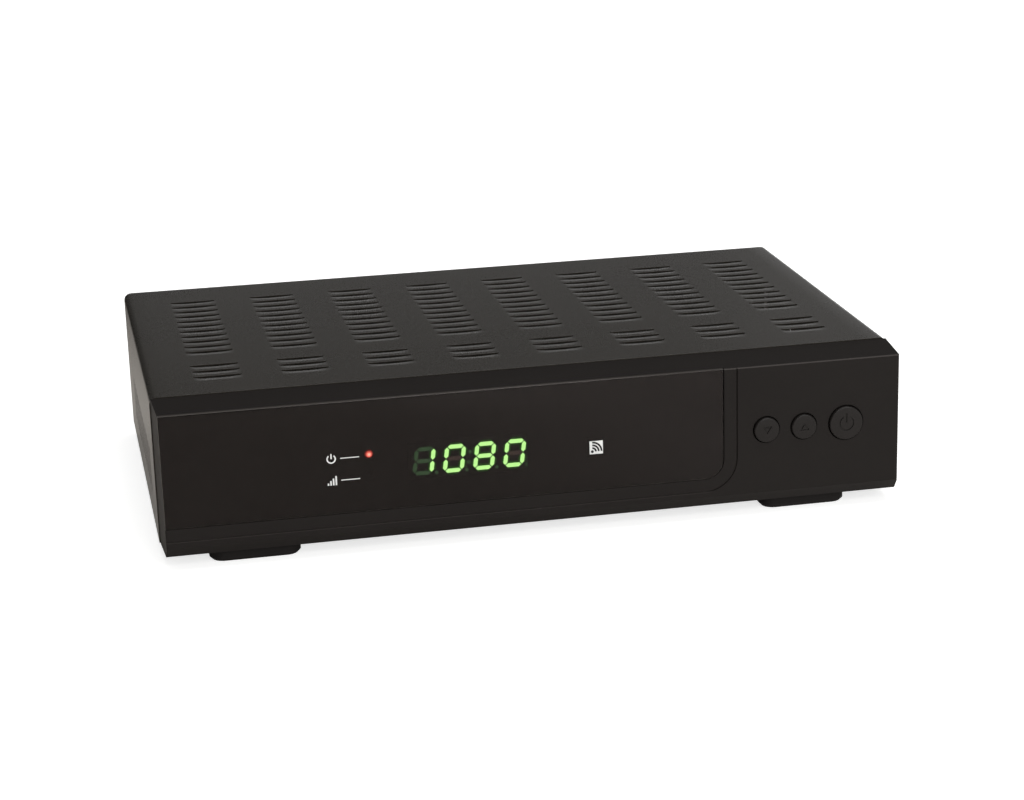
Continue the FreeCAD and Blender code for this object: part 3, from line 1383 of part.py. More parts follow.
# ---------------------------------------------------------------- inner leads
def front_ribbon_cable():
    """Flat cable from the main board's header up to the front board."""
    body = new_body("front_ribbon_cable")
    thick = "ribbon_thickness"
    front = "(front_board_at + board_thickness + 2.6)"
    back = f"({BOARD_BACK} - main_board_length + 5.1)"
    low = f"({BOARD_TOP} + header_rise)"
    high = "(button_level - 3.4)"
    crest = f"({low} + 7)"
    points = (
        (back, low),
        (f"{back} + {thick}", low),
        (f"{back} + {thick}", f"{crest} + {thick}"),
        (f"({front} + {back}) / 2 + {thick}", f"{crest} + {thick}"),
        (f"({front} + {back}) / 2 + {thick}", f"{high} + {thick}"),
        (front, f"{high} + {thick}"),
        (front, high),
        (f"({front} + {back}) / 2", high),
        (f"({front} + {back}) / 2", crest),
        (back, crest),
    )
    outline = polygon(new_sketch(body, "Run", "YZ_Plane", "eye_offset - ribbon_width / 2"), points)
    pad(body, "Strip", outline, "ribbon_width")
    seat(body)


def power_harness():
    """Band of supply leads that arches from board to board."""
    body = new_body("power_harness")
    thick = "harness_thickness"
    left = f"({POWER_RIGHT} - 5.5)"
    right = f"({MAIN_LEFT} + 5.5)"
    low = f"({BOARD_TOP} + header_rise)"
    crest = f"({low} + 9)"
    points = (
        (f"{left} - {thick} / 2", low),
        (f"{left} + {thick} / 2", low),
        (f"{left} + {thick} / 2", crest),
        (f"{right} - {thick} / 2", crest),
        (f"{right} - {thick} / 2", low),
        (f"{right} + {thick} / 2", low),
        (f"{right} + {thick} / 2", f"{crest} + {thick}"),
        (f"{left} - {thick} / 2", f"{crest} + {thick}"),
    )
    outline = polygon(new_sketch(body, "Run", "XZ_Plane", f"harness_width / 2 - {HARNESS_Y}"), points)
    pad(body, "Leads", outline, "harness_width", backwards=True)

    def outer_turn(box):
        return along_y(box) and near(box.ZMin, f"{crest} + {thick}")

    def inner_turn(box):
        return along_y(box) and near(box.ZMin, crest)

    dress(body, "OuterTurns", "Chamfer", outer_turn, f"3 + {thick}")
    dress(body, "InnerTurns", "Chamfer", inner_turn, "3.4")
    seat(body)


# ---------------------------------------------------------------- assembly
def build():
    base_chassis()
    rear_panel()
    top_cover()
    cover_screws()
    front_fascia()
    fascia_screws()
    display_window()
    front_circuit_board()
    front_board_screws()
    led_display()
    indicator_lamp("power_lamp", "lamp_level")
    indicator_lamp("signal_lamp", "(lamp_level - lamp_pitch)")
    ir_receiver()
    for name, x, radius in button_places():
        push_button(name, x, radius)
        push_plunger(name, x)
    button_switches()
    boards()
    tuner_can()
    for label, place in zip(("lnb_input_connector", "lnb_loop_connector"), f_places()):
        lnb_connector(label, place)
    lnb_insulators()
    lnb_nuts()
    scart_socket()
    framed_socket("hdmi")
    framed_socket("usb")
    ethernet_socket()
    av_jack_tower()
    jack_sleeves()
    for label, level in zip(("right_audio_insulator", "left_audio_insulator", "video_insulator"), jack_levels()):
        jack_insulator(label, level)
    decoder_parts()
    places = tuple((f"({MAIN_RIGHT} - {12 + 14 * n})", f"({BOARD_BACK} - 96)") for n in range(2))
    capacitors("main_board_capacitors", places, "small_can_radius", "main_can_rise")
    transformer()
    power_parts()
    mains_inlet()
    mains_switch()
    front_ribbon_cable()
    power_harness()
    for place, y in (("front", "foot_front"), ("rear", "(housing_depth - foot_back_inset - foot_length)")):
        foot(f"foot_{place}_left", FOOT_LEFT, y)
        foot(f"foot_{place}_right", FOOT_RIGHT, y)
    foot_screws()
    doc.recompute()


def export():
    """Check every object, then write each sub-part to its own file."""
    for item in doc.Objects:
        if {"Invalid", "Error"} & set(item.State):
            raise RuntimeError(f"{item.Name} failed: {item.State}")
    os.makedirs("parts", exist_ok=True)
    for part in PARTS:
        shape = part.Shape
        if shape.isNull() or not shape.isValid() or not shape.Solids:
            raise RuntimeError(f"{part.Label} has no valid solid")
        shape.exportStep(f"parts/{part.Label}.step")
        print(f"{part.Label}: {len(shape.Solids)} solid(s), {shape.Volume:.1f} mm3")
    print(f"{len(PARTS)} sub-parts written")


build()
export()
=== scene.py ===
"""Satellite receiver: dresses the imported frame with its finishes, fine pieces and a studio."""

import logging
import math
from collections.abc import Callable, Iterable
from dataclasses import dataclass, field
from enum import Enum

import bpy
from mathutils import Matrix, Vector


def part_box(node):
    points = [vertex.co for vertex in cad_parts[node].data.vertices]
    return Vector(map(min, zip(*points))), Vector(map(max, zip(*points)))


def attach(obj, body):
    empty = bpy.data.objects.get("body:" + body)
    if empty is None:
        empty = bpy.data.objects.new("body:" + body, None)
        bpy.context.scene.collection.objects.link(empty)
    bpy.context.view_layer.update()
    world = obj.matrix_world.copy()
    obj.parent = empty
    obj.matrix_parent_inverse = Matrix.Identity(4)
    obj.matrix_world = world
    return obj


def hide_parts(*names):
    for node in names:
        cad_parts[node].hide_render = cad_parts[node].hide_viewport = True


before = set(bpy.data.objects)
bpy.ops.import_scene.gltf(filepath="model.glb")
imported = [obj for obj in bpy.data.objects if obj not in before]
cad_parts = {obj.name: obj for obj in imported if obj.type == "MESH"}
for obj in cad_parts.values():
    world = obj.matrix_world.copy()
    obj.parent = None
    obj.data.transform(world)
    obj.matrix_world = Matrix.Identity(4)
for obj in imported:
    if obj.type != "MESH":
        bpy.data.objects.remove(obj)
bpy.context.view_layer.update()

MM = 0.001
SLACK = 0.01 * MM
X, Y, Z = range(3)
QUARTER = math.radians(90)
# Faces that meet at less than this angle shade as one round surface.
SMOOTH_BELOW = math.radians(32)
# A face looks along an axis when that part of its normal is longer than this.
SQUARE_ON = 0.9
LOG = logging.getLogger("receiver")
BODY = "receiver"

Point = tuple[float, float, float]
Piece = bpy.types.Object
Tree = bpy.types.NodeTree
Socket = bpy.types.NodeSocket
Sockets = dict[str | int, object]
Test = Callable[[Vector, Vector], bool]


# ---------------------------------------------------------------- colour and nodes
def linear(code: str) -> tuple[float, float, float, float]:
    """Turn an sRGB hex value into the linear colour that a shader takes.

    Args:
        code: Six hex digits with a leading #.

    Returns:
        Red, green, blue and an alpha of one.
    """
    parts = [int(code[n : n + 2], 16) / 255 for n in (1, 3, 5)]
    red, green, blue = (c / 12.92 if c <= 0.04045 else ((c + 0.055) / 1.055) ** 2.4 for c in parts)
    return red, green, blue, 1.0


def add_node(
    tree: Tree, kind: str, sockets: Sockets | None = None, **properties: object
) -> bpy.types.NodeOutputs:
    """Add one node with its settings and links.

    Args:
        tree: The node tree that it joins.
        kind: The node's type name after "ShaderNode".
        sockets: Input name or index, and either a plain value or the output socket that feeds it.
        **properties: The node's own settings.

    Returns:
        The new node's outputs.
    """
    made = tree.nodes.new(f"ShaderNode{kind}")
    for name, value in properties.items():
        setattr(made, name, value)
    for key, value in (sockets or {}).items():
        if isinstance(value, bpy.types.NodeSocket):
            tree.links.new(value, made.inputs[key])
        else:
            made.inputs[key].default_value = value
    return made.outputs


def blank_tree(owner: bpy.types.Material | bpy.types.World) -> Tree:
    """Give a material or a world an empty node tree.

    Args:
        owner: What the nodes are for.

    Returns:
        The tree.
    """
    owner.use_nodes = True
    owner.node_tree.nodes.clear()
    return owner.node_tree


class Lay(Enum):
    """Which way the fine marks of a surface run."""

    EVEN = (1.0, 1.0, 1.0)
    ALONG_Y = (1.0, 0.03, 1.0)
    ALONG_Z = (1.0, 1.0, 0.03)


@dataclass(frozen=True)
class Surface:
    """A real material. Its subclasses say what gives it its look; lengths are in millimetres."""

    title: str

    def build(self) -> bpy.types.Material:
        """Make the material.

        Returns:
            A material with one shader that takes what describe() gives.
        """
        material = bpy.data.materials.new(self.title)
        tree = blank_tree(material)
        seen = add_node(tree, "TexCoord")
        sockets = self.describe(tree, seen["Object"], seen["Normal"])
        shader = add_node(tree, "BsdfPrincipled", sockets)
        add_node(tree, "OutputMaterial", {"Surface": shader[0]})
        return material

    def describe(self, tree: Tree, where: Socket, facing: Socket) -> Sockets:
        """Work out what the shader is given.

        Args:
            tree: The material's node tree.
            where: The place on the object.
            facing: The direction that the surface faces.

        Returns:
            The shader's inputs.
        """
        raise NotImplementedError


@dataclass(frozen=True)
class Finish(Surface):
    """A moulded, painted or plated surface.

    The grain is the texture that the hand would feel, the drift is the slow change of tone that
    handling and moulding leave.
    """

    colour: str
    shade: str
    roughness: float
    swing: float = 0.06
    metallic: float = 0.0
    specular: float = 0.5
    grain: float = 0.5
    relief: float = 0.01
    drift: float = 25.0
    lay: Lay = Lay.EVEN
    # Colour of a painted highlight on the narrow faces that look up and forward.
    edge: str | None = None

    def describe(self, tree: Tree, where: Socket, facing: Socket) -> Sockets:
        """Give the colour its drift, the gloss its unevenness and the surface a fine relief.

        Args:
            tree: The material's node tree.
            where: The place on the object.
            facing: The direction that the surface faces.

        Returns:
            The shader's inputs.
        """
        stretched = add_node(tree, "Mapping", {"Vector": where, "Scale": self.lay.value})
        slow = {"Vector": where, "Scale": 1 / (self.drift * MM), "Detail": 3.0}
        drift = add_node(tree, "TexNoise", slow)["Fac"]
        fine = {"Vector": stretched[0], "Scale": 1 / (self.grain * MM), "Detail": 2.0}
        grain = add_node(tree, "TexNoise", fine)["Fac"]
        tone = {"Factor": drift, 6: linear(self.colour), 7: linear(self.shade)}
        colour = add_node(tree, "Mix", tone, data_type="RGBA")[2]
        if self.edge:
            # Painted highlight along the edge faces that look up and forward.
            colour = self.paint_edge_highlight(tree, facing, colour)
        uneven = add_node(tree, "Math", {0: grain, 1: drift}, operation="MULTIPLY")[0]
        low, high = self.roughness - self.swing, self.roughness + self.swing
        gloss = {"Value": uneven, "From Max": 0.5, "To Min": low, "To Max": high}
        bump = {"Height": grain, "Distance": self.relief * MM, "Strength": 1.0}
        return {
            "Base Color": colour,
            "Roughness": add_node(tree, "MapRange", gloss)["Result"],
            "Metallic": self.metallic,
            "Specular IOR Level": self.specular,
            "Normal": add_node(tree, "Bump", bump)["Normal"],
        }

    def paint_edge_highlight(self, tree: Tree, facing: Socket, colour: Socket) -> Socket:
        """Paint a highlight on the narrow faces that look up and forward.

        Args:
            tree: The material's node tree.
            facing: The direction that the surface faces.
            colour: The colour everywhere else.

        Returns:
            Both colours mixed.
        """
        half = math.sqrt(0.5)
        lean = {0: facing, 1: (0, -half, half)}
        along = add_node(tree, "VectorMath", lean, operation="DOT_PRODUCT")["Value"]
        highlight_band = {"Value": along, "From Min": 0.96, "From Max": 0.99}
        share = add_node(tree, "MapRange", highlight_band)["Result"]
        tone = {"Factor": share, 6: colour, 7: linear(self.edge)}
        return add_node(tree, "Mix", tone, data_type="RGBA")[2]


@dataclass(frozen=True)
class SmokedAcrylic(Surface):
    """Cast acrylic, dyed in the mass and polished: a near-black sheet that lamps shine through."""

    title: str = "Smoked acrylic, polished"
    tint: str = "#423f3e"
    sheen: str = "#c6bebd"
    # Colour of the painted highlight on the upper and lower edges, which are made opaque.
    painted_edge_band: str = "#3b3835"
    roughness: float = 0.05
    wiped: float = 0.08
    wipe: float = 14.0

    def describe(self, tree: Tree, where: Socket, facing: Socket) -> Sockets:
        """Let the tint darken what lies behind, and paint an opaque, paler highlight on the upper
        and lower edges.

        Args:
            tree: The material's node tree.
            where: The place on the object.
            facing: The direction that the surface faces.

        Returns:
            The shader's inputs.
        """
        cloth = {"Vector": where, "Scale": 1 / (self.wipe * MM), "Detail": 2.0}
        haze = add_node(tree, "TexNoise", cloth)["Fac"]
        gloss = {"Value": haze, "To Min": self.roughness, "To Max": self.roughness + self.wiped}
        # Faces that look up or down, the rounded upper and lower edges, get an opaque painted
        # highlight.
        level = add_node(tree, "SeparateXYZ", {"Vector": facing})["Z"]
        steep = add_node(tree, "Math", {0: level}, operation="ABSOLUTE")[0]
        band = {"Value": steep, "From Min": 0.2, "From Max": 0.4}
        painted_edge_band = add_node(tree, "MapRange", band)["Result"]
        tone = {"Factor": painted_edge_band, 6: linear(self.tint), 7: linear(self.painted_edge_band)}
        clear = add_node(tree, "Math", {0: 1.0, 1: painted_edge_band}, operation="SUBTRACT")[0]
        return {
            "Base Color": add_node(tree, "Mix", tone, data_type="RGBA")[2],
            "Roughness": add_node(tree, "MapRange", gloss)["Result"],
            "IOR": 1.49,
            "Specular Tint": linear(self.sheen),
            "Transmission Weight": clear,
        }


@dataclass(frozen=True)
class Glow(Surface):
    """Epoxy over a light-emitting chip: brightest over the chip, deeper in colour at its edge.

    A lamp whose chip sits in one spot has that spot's place and reach.
    """

    core: str
    rim: str
    strength: float
    dim: float = 1.0
    spot: Point | None = None
    reach: float = 1.5
    cloud: float = 1.6
    uneven: float = 0.2

    def describe(self, tree: Tree, where: Socket, facing: Socket) -> Sockets:
        """Spread the light a little unevenly, as diffused lamps do.

        Args:
            tree: The material's node tree.
            where: The place on the object.
            facing: The direction that the surface faces; not used.

        Returns:
            The shader's inputs.
        """
        patchy = {"Vector": where, "Scale": 1 / (self.cloud * MM), "Detail": 1.0}
        cloud = add_node(tree, "TexNoise", patchy)["Fac"]
        if self.spot:
            shrink = 1 / (self.reach * MM)
            place = (-self.spot[X] / self.reach, 0, -self.spot[Z] / self.reach)
            home = {"Vector": where, "Scale": (shrink, 0, shrink), "Location": place}
            centred = add_node(tree, "Mapping", home)["Vector"]
            edge = add_node(tree, "VectorMath", {0: centred}, operation="LENGTH")["Value"]
        else:
            edge = add_node(tree, "LayerWeight", {"Blend": 0.35})["Facing"]
        spread = {0: cloud, 1: self.uneven, 2: edge}
        outward = add_node(tree, "Math", spread, operation="MULTIPLY_ADD", use_clamp=True)[0]
        tone = {"Factor": outward, 6: linear(self.core), 7: linear(self.rim)}
        fade = {"Value": outward, "To Min": self.strength, "To Max": self.strength * self.dim}
        return {
            "Base Color": linear(self.rim),
            "Roughness": 0.3,
            "Emission Color": add_node(tree, "Mix", tone, data_type="RGBA")[2],
            "Emission Strength": add_node(tree, "MapRange", fade)["Result"],
        }


@dataclass(frozen=True)
class Laminate(Surface):
    """Glass-epoxy or paper board under solder resist, with etched tracks and tinned holes."""

    resist: str
    track: str
    solder: str = "#b9b9b2"
    track_pitch: float = 1.9
    hole_pitch: float = 5.08
    track_height: float = 0.03

    def describe(self, tree: Tree, where: Socket, facing: Socket) -> Sockets:
        """Raise the tracks under the lacquer and put bright solder points on it.

        Args:
            tree: The material's node tree.
            where: The place on the object.
            facing: The direction that the surface faces; not used.

        Returns:
            The shader's inputs.
        """
        row_height = 0.1
        rows = {
            "Vector": where,
            "Scale": row_height / (self.track_pitch * MM),
            "Mortar Size": 0.012,
            "Brick Width": 1.2,
            "Row Height": row_height,
            "Color1": (0, 0, 0, 1),
            "Color2": (0, 0, 0, 1),
            "Mortar": (1, 1, 1, 1),
        }
        tracks = add_node(tree, "TexBrick", rows)["Color"]
        cells = {"Vector": where, "Scale": 1 / (self.hole_pitch * MM), "Randomness": 0.6}
        holes = add_node(tree, "TexVoronoi", cells)["Distance"]
        dots = {"Value": holes, "From Min": 0.10, "From Max": 0.13, "To Min": 1.0, "To Max": 0.0}
        solder = add_node(tree, "MapRange", dots)["Result"]
        lines = {"Factor": tracks, 6: linear(self.resist), 7: linear(self.track)}
        drawn = add_node(tree, "Mix", lines, data_type="RGBA")[2]
        tinned = {"Factor": solder, 6: drawn, 7: linear(self.solder)}
        bump = {"Height": tracks, "Distance": self.track_height * MM}
        return {
            "Base Color": add_node(tree, "Mix", tinned, data_type="RGBA")[2],
            "Metallic": solder,
            "Roughness": 0.32,
            "Normal": add_node(tree, "Bump", bump)["Normal"],
        }


# Powder coat on steel: tiny orange-peel bumps blur the reflections into a soft, broad sheen.
POWDER_COAT = Finish(
    "Powder-coated steel, satin black", "#221e19", "#28241e", 0.28, swing=0.025, specular=0.4,
    grain=0.45, relief=0.003, drift=60.0,
)
# Stove enamel is thinner than powder: smoother and a little bluer, with a duller shine.
TRAY_PAINT = Finish(
    "Stove-enamelled steel, black", "#1d1d1e", "#232324", 0.4, specular=0.4, grain=0.8, relief=0.006
)
# Spark-eroded mould: an even, very fine matt texture that hardly shines at any angle. The top front
# edge gets a painted highlight.
MOULDED_ABS = Finish(
    "Injection-moulded ABS, fine spark texture", "#201d1c", "#252220", 0.52, specular=0.08,
    grain=0.35, relief=0.004, edge="#3f3b39",
)
# Caps from a polished mould: the rounded rims catch the light.
BUTTON_ABS = Finish(
    "Injection-moulded ABS, satin", "#1a1716", "#1f1c1b", 0.3, specular=0.2, grain=0.3, relief=0.006
)
# Glass fibres at the surface make it dull and slightly grainy.
BLACK_PBT = Finish("Glass-filled PBT, moulded black", "#141414", "#1b1b1b", 0.5, grain=0.7)
# Printed mask around the segments: almost black, without gloss.
DISPLAY_FACE = Finish(
    "Display face, matt printed black", "#0c0b0b", "#100f0f", 0.7, specular=0.05, grain=0.3
)
# Undyed nylon: milky and slightly waxy.
WHITE_NYLON = Finish("Moulded nylon, natural white", "#d8d5ca", "#cfcbbf", 0.45, grain=0.6)
# Dyed PVC rings that tell the jacks apart: strong, even colours with a soft gloss.
RED_PVC = Finish("Moulded PVC, red", "#b01a18", "#9c1614", 0.35, grain=0.6)
YELLOW_PVC = Finish("Moulded PVC, yellow", "#e0a812", "#d09a0e", 0.35, grain=0.6)
# Rubber takes the light in: deep, dusty black.
RUBBER = Finish(
    "Moulded rubber, matt black", "#1b1918", "#23201f", 0.75, specular=0.15, relief=0.02
)
# Zinc plate under clear passivate: bright grey with a faint blue cast.
ZINC = Finish(
    "Zinc-plated steel, passivated", "#b6b8ba", "#a6a8ad", 0.34, metallic=1.0, relief=0.006
)
# Black chromate over zinc: metal whose shine still shows through the dark film.
BLACK_ZINC = Finish(
    "Steel, black zinc plate", "#1c1c1d", "#28282a", 0.38, metallic=0.6, grain=0.4, relief=0.006
)
# Turned brass under nickel: warm silver with the lathe's rings.
NICKEL = Finish(
    "Nickel-plated brass, turned", "#cfc6b4", "#bdb3a0", 0.22, metallic=1.0, grain=0.25,
    lay=Lay.ALONG_Z,
)
# Contact springs: thin gold flash over phosphor bronze.
GOLD_FLASH = Finish(
    "Phosphor bronze, gold flashed", "#d9b25c", "#c79c48", 0.24, metallic=1.0, grain=0.3
)
# Hot-dipped tin: pale, soft shine with rolling marks along the sheet.
TINPLATE = Finish(
    "Tinned steel sheet, stamped", "#b9bbba", "#a5a8a8", 0.32, metallic=1.0, grain=0.6,
    lay=Lay.ALONG_Y,
)
# Extruded aluminium: fine die lines along its length.
EXTRUSION = Finish("Aluminium, extruded", "#b4b5b6", "#a2a3a5", 0.36, metallic=1.0, lay=Lay.ALONG_Y)
# Printed film shrunk over a can: smooth, dark blue, glossy at its edges.
CAN_SLEEVE = Finish(
    "Shrink sleeve on a capacitor", "#1b2433", "#141b28", 0.3, grain=0.8, relief=0.005
)
# Pressed and fired powder: dull charcoal with tiny pits.
FERRITE = Finish("Sintered ferrite", "#2a2b2d", "#222325", 0.55, grain=0.4, relief=0.02)
# Wound tape: shiny amber with the edges of its turns.
TAPE = Finish(
    "Polyester tape over windings", "#c9a02a", "#b98f20", 0.28, grain=1.2, relief=0.03,
    lay=Lay.ALONG_Z,
)
# Drawn glass tube between its caps: pale, glossy, faintly wavy.
FUSE_GLASS = Finish(
    "Fuse tube, drawn glass", "#c9cfcd", "#b8bfbd", 0.12, specular=0.6, grain=2.0, relief=0.002
)
# Flat cable: the round of each core shows as a ridge along its length.
RIBBON_PVC = Finish(
    "Ribbon cable, extruded PVC", "#8f9191", "#7d8080", 0.4, grain=1.2, relief=0.05, lay=Lay.ALONG_Y
)
# Epoxy dyed for infrared: almost black, with a purple cast and a wet gloss.
EYE_EPOXY = Finish(
    "Infrared-clear epoxy, near black", "#120a12", "#180e18", 0.15, grain=0.8, relief=0.002
)
# Transfer-moulded chip cases: flat dark grey.
CHIP_EPOXY = Finish("Transfer-moulded epoxy, laser matt", "#1b1b1c", "#202021", 0.55, grain=0.3)
# Screen ink lies on the window as a thin matt film with a slightly uneven edge of tone.
WHITE_INK = Finish(
    "Screen-printed white ink", "#f0f0ee", "#e4e4e1", 0.5, specular=0.3, grain=0.3, relief=0.004
)
BLACK_INK = Finish(
    "Screen-printed black ink", "#121115", "#19181d", 0.5, specular=0.3, grain=0.3, relief=0.004
)
# Lit segments: yellow-green over the chip, purer green where the light thins out.
GREEN_GLOW = Glow("Green segment, lit", "#c4ffa2", "#74ec5c", 20.0)
GREEN_HALO = Glow("Green light spread in the diffuser", "#2f8a12", "#1c6408", 2.6)
# Points, and dark segments beside lit ones, are no lamps; they get a faint painted green glow.
GREEN_PAINTED_GLOW = Glow("Green segment, unlit, painted glow", "#537f55", "#3c6a42", 5.0)
# The other dark segments show the milky resin in their moulded wells, with a faint painted glow.
RESIN_PAINTED_GLOW = Glow("Milky segment resin, unlit, painted glow", "#5e5049", "#4a403b", 5.5)
# The chip of the red lamp is almost pink, and its light reddens towards the lens's edge.
RED_GLOW = Glow("Red lamp, lit", "#ffa894", "#d01408", 46.0, dim=0.035, spot=(-59.1, 0.0, 35.1))
# A tinted lens with nothing lit behind it: dark bottle green, glossy.
GREEN_LENS = Finish(
    "Green lamp, unlit", "#141b15", "#101711", 0.3, specular=0.1, grain=0.6, relief=0.002
)
# Glass-epoxy board: green lacquer, raised copper tracks and dots of solder.
GREEN_BOARD = Laminate("Glass-epoxy board, green resist", "#123c22", "#1d5530")
# Paper board: dull tan, with darker tracks showing through.
TAN_BOARD = Laminate("Paper board, tan", "#a7783f", "#8f6231")
# Cast sheet, polished on its faces: near black, and the lamps behind it shine through. Its upper
# and lower edges carry a painted highlight.
SMOKED_WINDOW = SmokedAcrylic()

NODE_FINISHES: dict[Surface, tuple[str, ...]] = {
    TRAY_PAINT: ("base_chassis", "rear_panel"),
    POWDER_COAT: ("top_cover",),
    MOULDED_ABS: ("front_fascia",),
    BUTTON_ABS: ("channel_down_button", "channel_up_button", "power_button"),
    DISPLAY_FACE: ("led_display",),
    RED_GLOW: ("power_lamp",),
    GREEN_LENS: ("signal_lamp",),
    EYE_EPOXY: ("ir_receiver",),
    GREEN_BOARD: ("front_circuit_board", "main_circuit_board"),
    TAN_BOARD: ("power_supply_board",),
    ZINC: (
        "fascia_screws",
        "front_board_screws",
        "power_board_screws",
        "main_board_screws",
        "foot_screws",
    ),
    WHITE_NYLON: (
        "channel_down_plunger",
        "channel_up_plunger",
        "power_plunger",
        "lnb_insulators",
        "left_audio_insulator",
    ),
    RED_PVC: ("right_audio_insulator",),
    YELLOW_PVC: ("video_insulator",),
    NICKEL: ("lnb_nuts", "jack_sleeves", "hdmi_socket", "usb_socket", "mains_inlet_pins"),
    TINPLATE: ("tuner_can", "ethernet_socket"),
    BLACK_PBT: (
        "button_switches",
        "scart_socket",
        "av_jack_tower",
        "mains_inlet",
        "mains_switch_case",
        "mains_rocker",
    ),
    CHIP_EPOXY: ("decoder_chip", "memory_chips"),
    EXTRUSION: ("decoder_heat_sink", "power_heat_sink"),
    CAN_SLEEVE: ("main_board_capacitors", "mains_capacitor", "output_capacitors"),
    FERRITE: ("transformer_core",),
    TAPE: ("transformer_winding", "mains_choke"),
    FUSE_GLASS: ("mains_fuse",),
    RIBBON_PVC: ("front_ribbon_cable", "power_harness"),
    RUBBER: tuple(f"foot_{end}_{side}" for end in ("front", "rear") for side in ("left", "right")),
}


# ---------------------------------------------------------------- the modelling bench
class Element(Enum):
    """What a selection is made of."""

    VERT = "VERT"
    EDGE = "EDGE"
    FACE = "FACE"


def flush(axis: int, level: float, *points: Vector) -> bool:
    """Tell whether all points lie at one level along an axis."""
    return all(abs(point[axis] - level) < SLACK for point in points)


def take(*objects: Piece) -> None:
    """Select some objects alone.

    Args:
        *objects: The objects. The last one becomes active.
    """
    bpy.ops.object.select_all(action="DESELECT")
    for obj in objects:
        obj.select_set(True)
    bpy.context.view_layer.objects.active = objects[-1]


def open_whole(obj: Piece) -> None:
    """Enter edit mode with everything selected.

    Args:
        obj: The piece being shaped.
    """
    take(obj)
    bpy.ops.object.mode_set(mode="EDIT")
    bpy.ops.mesh.select_all(action="SELECT")


def pick(obj: Piece, kind: Element, test: Test) -> None:
    """Enter edit mode with the elements that pass a test selected.

    Args:
        obj: The piece being shaped.
        kind: Which elements to look at.
        test: Takes two points. They are a vertex twice, an edge's ends, or a face's centre and
            normal.
    """
    take(obj)
    bpy.ops.object.mode_set(mode="EDIT")
    bpy.ops.mesh.select_mode(type=kind.value)
    bpy.ops.mesh.select_all(action="DESELECT")
    bpy.ops.object.mode_set(mode="OBJECT")
    mesh = obj.data
    if kind is Element.VERT:
        for vert in mesh.vertices:
            vert.select = test(vert.co, vert.co)
    elif kind is Element.EDGE:
        for edge in mesh.edges:
            edge.select = test(*(mesh.vertices[n].co for n in edge.vertices))
    else:
        for face in mesh.polygons:
            face.select = test(face.center, face.normal)
    bpy.ops.object.mode_set(mode="EDIT")


def done() -> None:
    """Leave edit mode."""
    bpy.ops.object.mode_set(mode="OBJECT")


def push(value: Point, kind: Element = Element.FACE) -> None:
    """Extrude the selection.

    Args:
        value: How far, along each axis.
        kind: Whether the selection is edges or faces.
    """
    move = {"value": value}
    if kind is Element.EDGE:
        bpy.ops.mesh.extrude_edges_move(TRANSFORM_OT_translate=move)
    else:
        bpy.ops.mesh.extrude_region_move(TRANSFORM_OT_translate=move)


def face_outwards() -> None:
    """Turn all faces outwards, in edit mode."""
    bpy.ops.mesh.select_all(action="SELECT")
    bpy.ops.mesh.normals_make_consistent(inside=False)


def round_edges(obj: Piece, test: Test, width: float, steps: int) -> None:
    """Round the edges that pass a test.

    Args:
        obj: The piece being shaped.
        test: Takes an edge's ends.
        width: Width of the rounding, in millimetres.
        steps: How many faces make it.
    """
    pick(obj, Element.EDGE, test)
    bpy.ops.mesh.bevel(offset=width * MM, segments=steps, profile=0.5, affect="EDGES")
    done()


def apply_modifier(obj: Piece, kind: str, **settings: object) -> None:
    """Put one modifier on a piece and apply it.

    Args:
        obj: The piece.
        kind: The modifier's type.
        **settings: Its settings.
    """
    take(obj)
    modifier = obj.modifiers.new(kind.title(), kind)
    for name, value in settings.items():
        setattr(modifier, name, value)
    bpy.ops.object.modifier_apply(modifier=modifier.name)


def cut_with(obj: Piece, tool: Piece) -> None:
    """Take a tool's shape out of a piece and remove the tool."""
    apply_modifier(obj, "BOOLEAN", operation="DIFFERENCE", solver="EXACT", object=tool)
    bpy.data.objects.remove(tool)


def join(objects: Iterable[Piece], name: str) -> Piece:
    """Make several objects one.

    Args:
        objects: The objects to join.
        name: The name of the result.

    Returns:
        The joined object.
    """
    group = list(objects)
    take(*group)
    if len(group) > 1:
        bpy.ops.object.join()
    made = bpy.context.view_layer.objects.active
    made.name = made.data.name = name
    return made


def copy_of(obj: Piece, matrix: Matrix) -> Piece:
    """Copy a modelled object, with its own mesh moved by a matrix.

    Args:
        obj: What was modelled once.
        matrix: Where the copy goes.

    Returns:
        The copy.
    """
    twin = obj.copy()
    twin.data = obj.data.copy()
    twin.data.transform(matrix)
    bpy.context.collection.objects.link(twin)
    return twin


def add_shape(
    operator: Callable[..., set[str]],
    name: str,
    scale: Iterable[float] = (1, 1, 1),
    **settings: object,
) -> Piece:
    """Add a primitive alone and put its place into its mesh.

    Args:
        operator: The primitive's operator.
        name: Its name.
        scale: Its size against the operator's.
        **settings: The operator's settings.

    Returns:
        The new object.
    """
    bpy.ops.object.select_all(action="DESELECT")
    operator(**settings)
    made = bpy.context.object
    made.scale = scale
    made.name = made.data.name = name
    take(made)
    bpy.ops.object.transform_apply(location=True, rotation=True, scale=True)
    return made


def add_box(low: Vector, high: Vector, name: str) -> Piece:
    """Add a box between its lowest and highest corner, in metres."""
    cube = bpy.ops.mesh.primitive_cube_add
    return add_shape(cube, name, high - low, size=1, location=(low + high) / 2)


def add_rod(centre: Vector, radius: float, length: float, name: str, vertices: int) -> Piece:
    """Add a cylinder that runs along Y.

    Args:
        centre: Its middle.
        radius: In metres.
        length: In metres, along Y.
        name: What it is called.
        vertices: How many sides it has.

    Returns:
        The cylinder.
    """
    settings = {"vertices": vertices, "radius": radius, "depth": length, "location": centre}
    cylinder = bpy.ops.mesh.primitive_cylinder_add
    return add_shape(cylinder, name, rotation=(QUARTER, 0, 0), **settings)


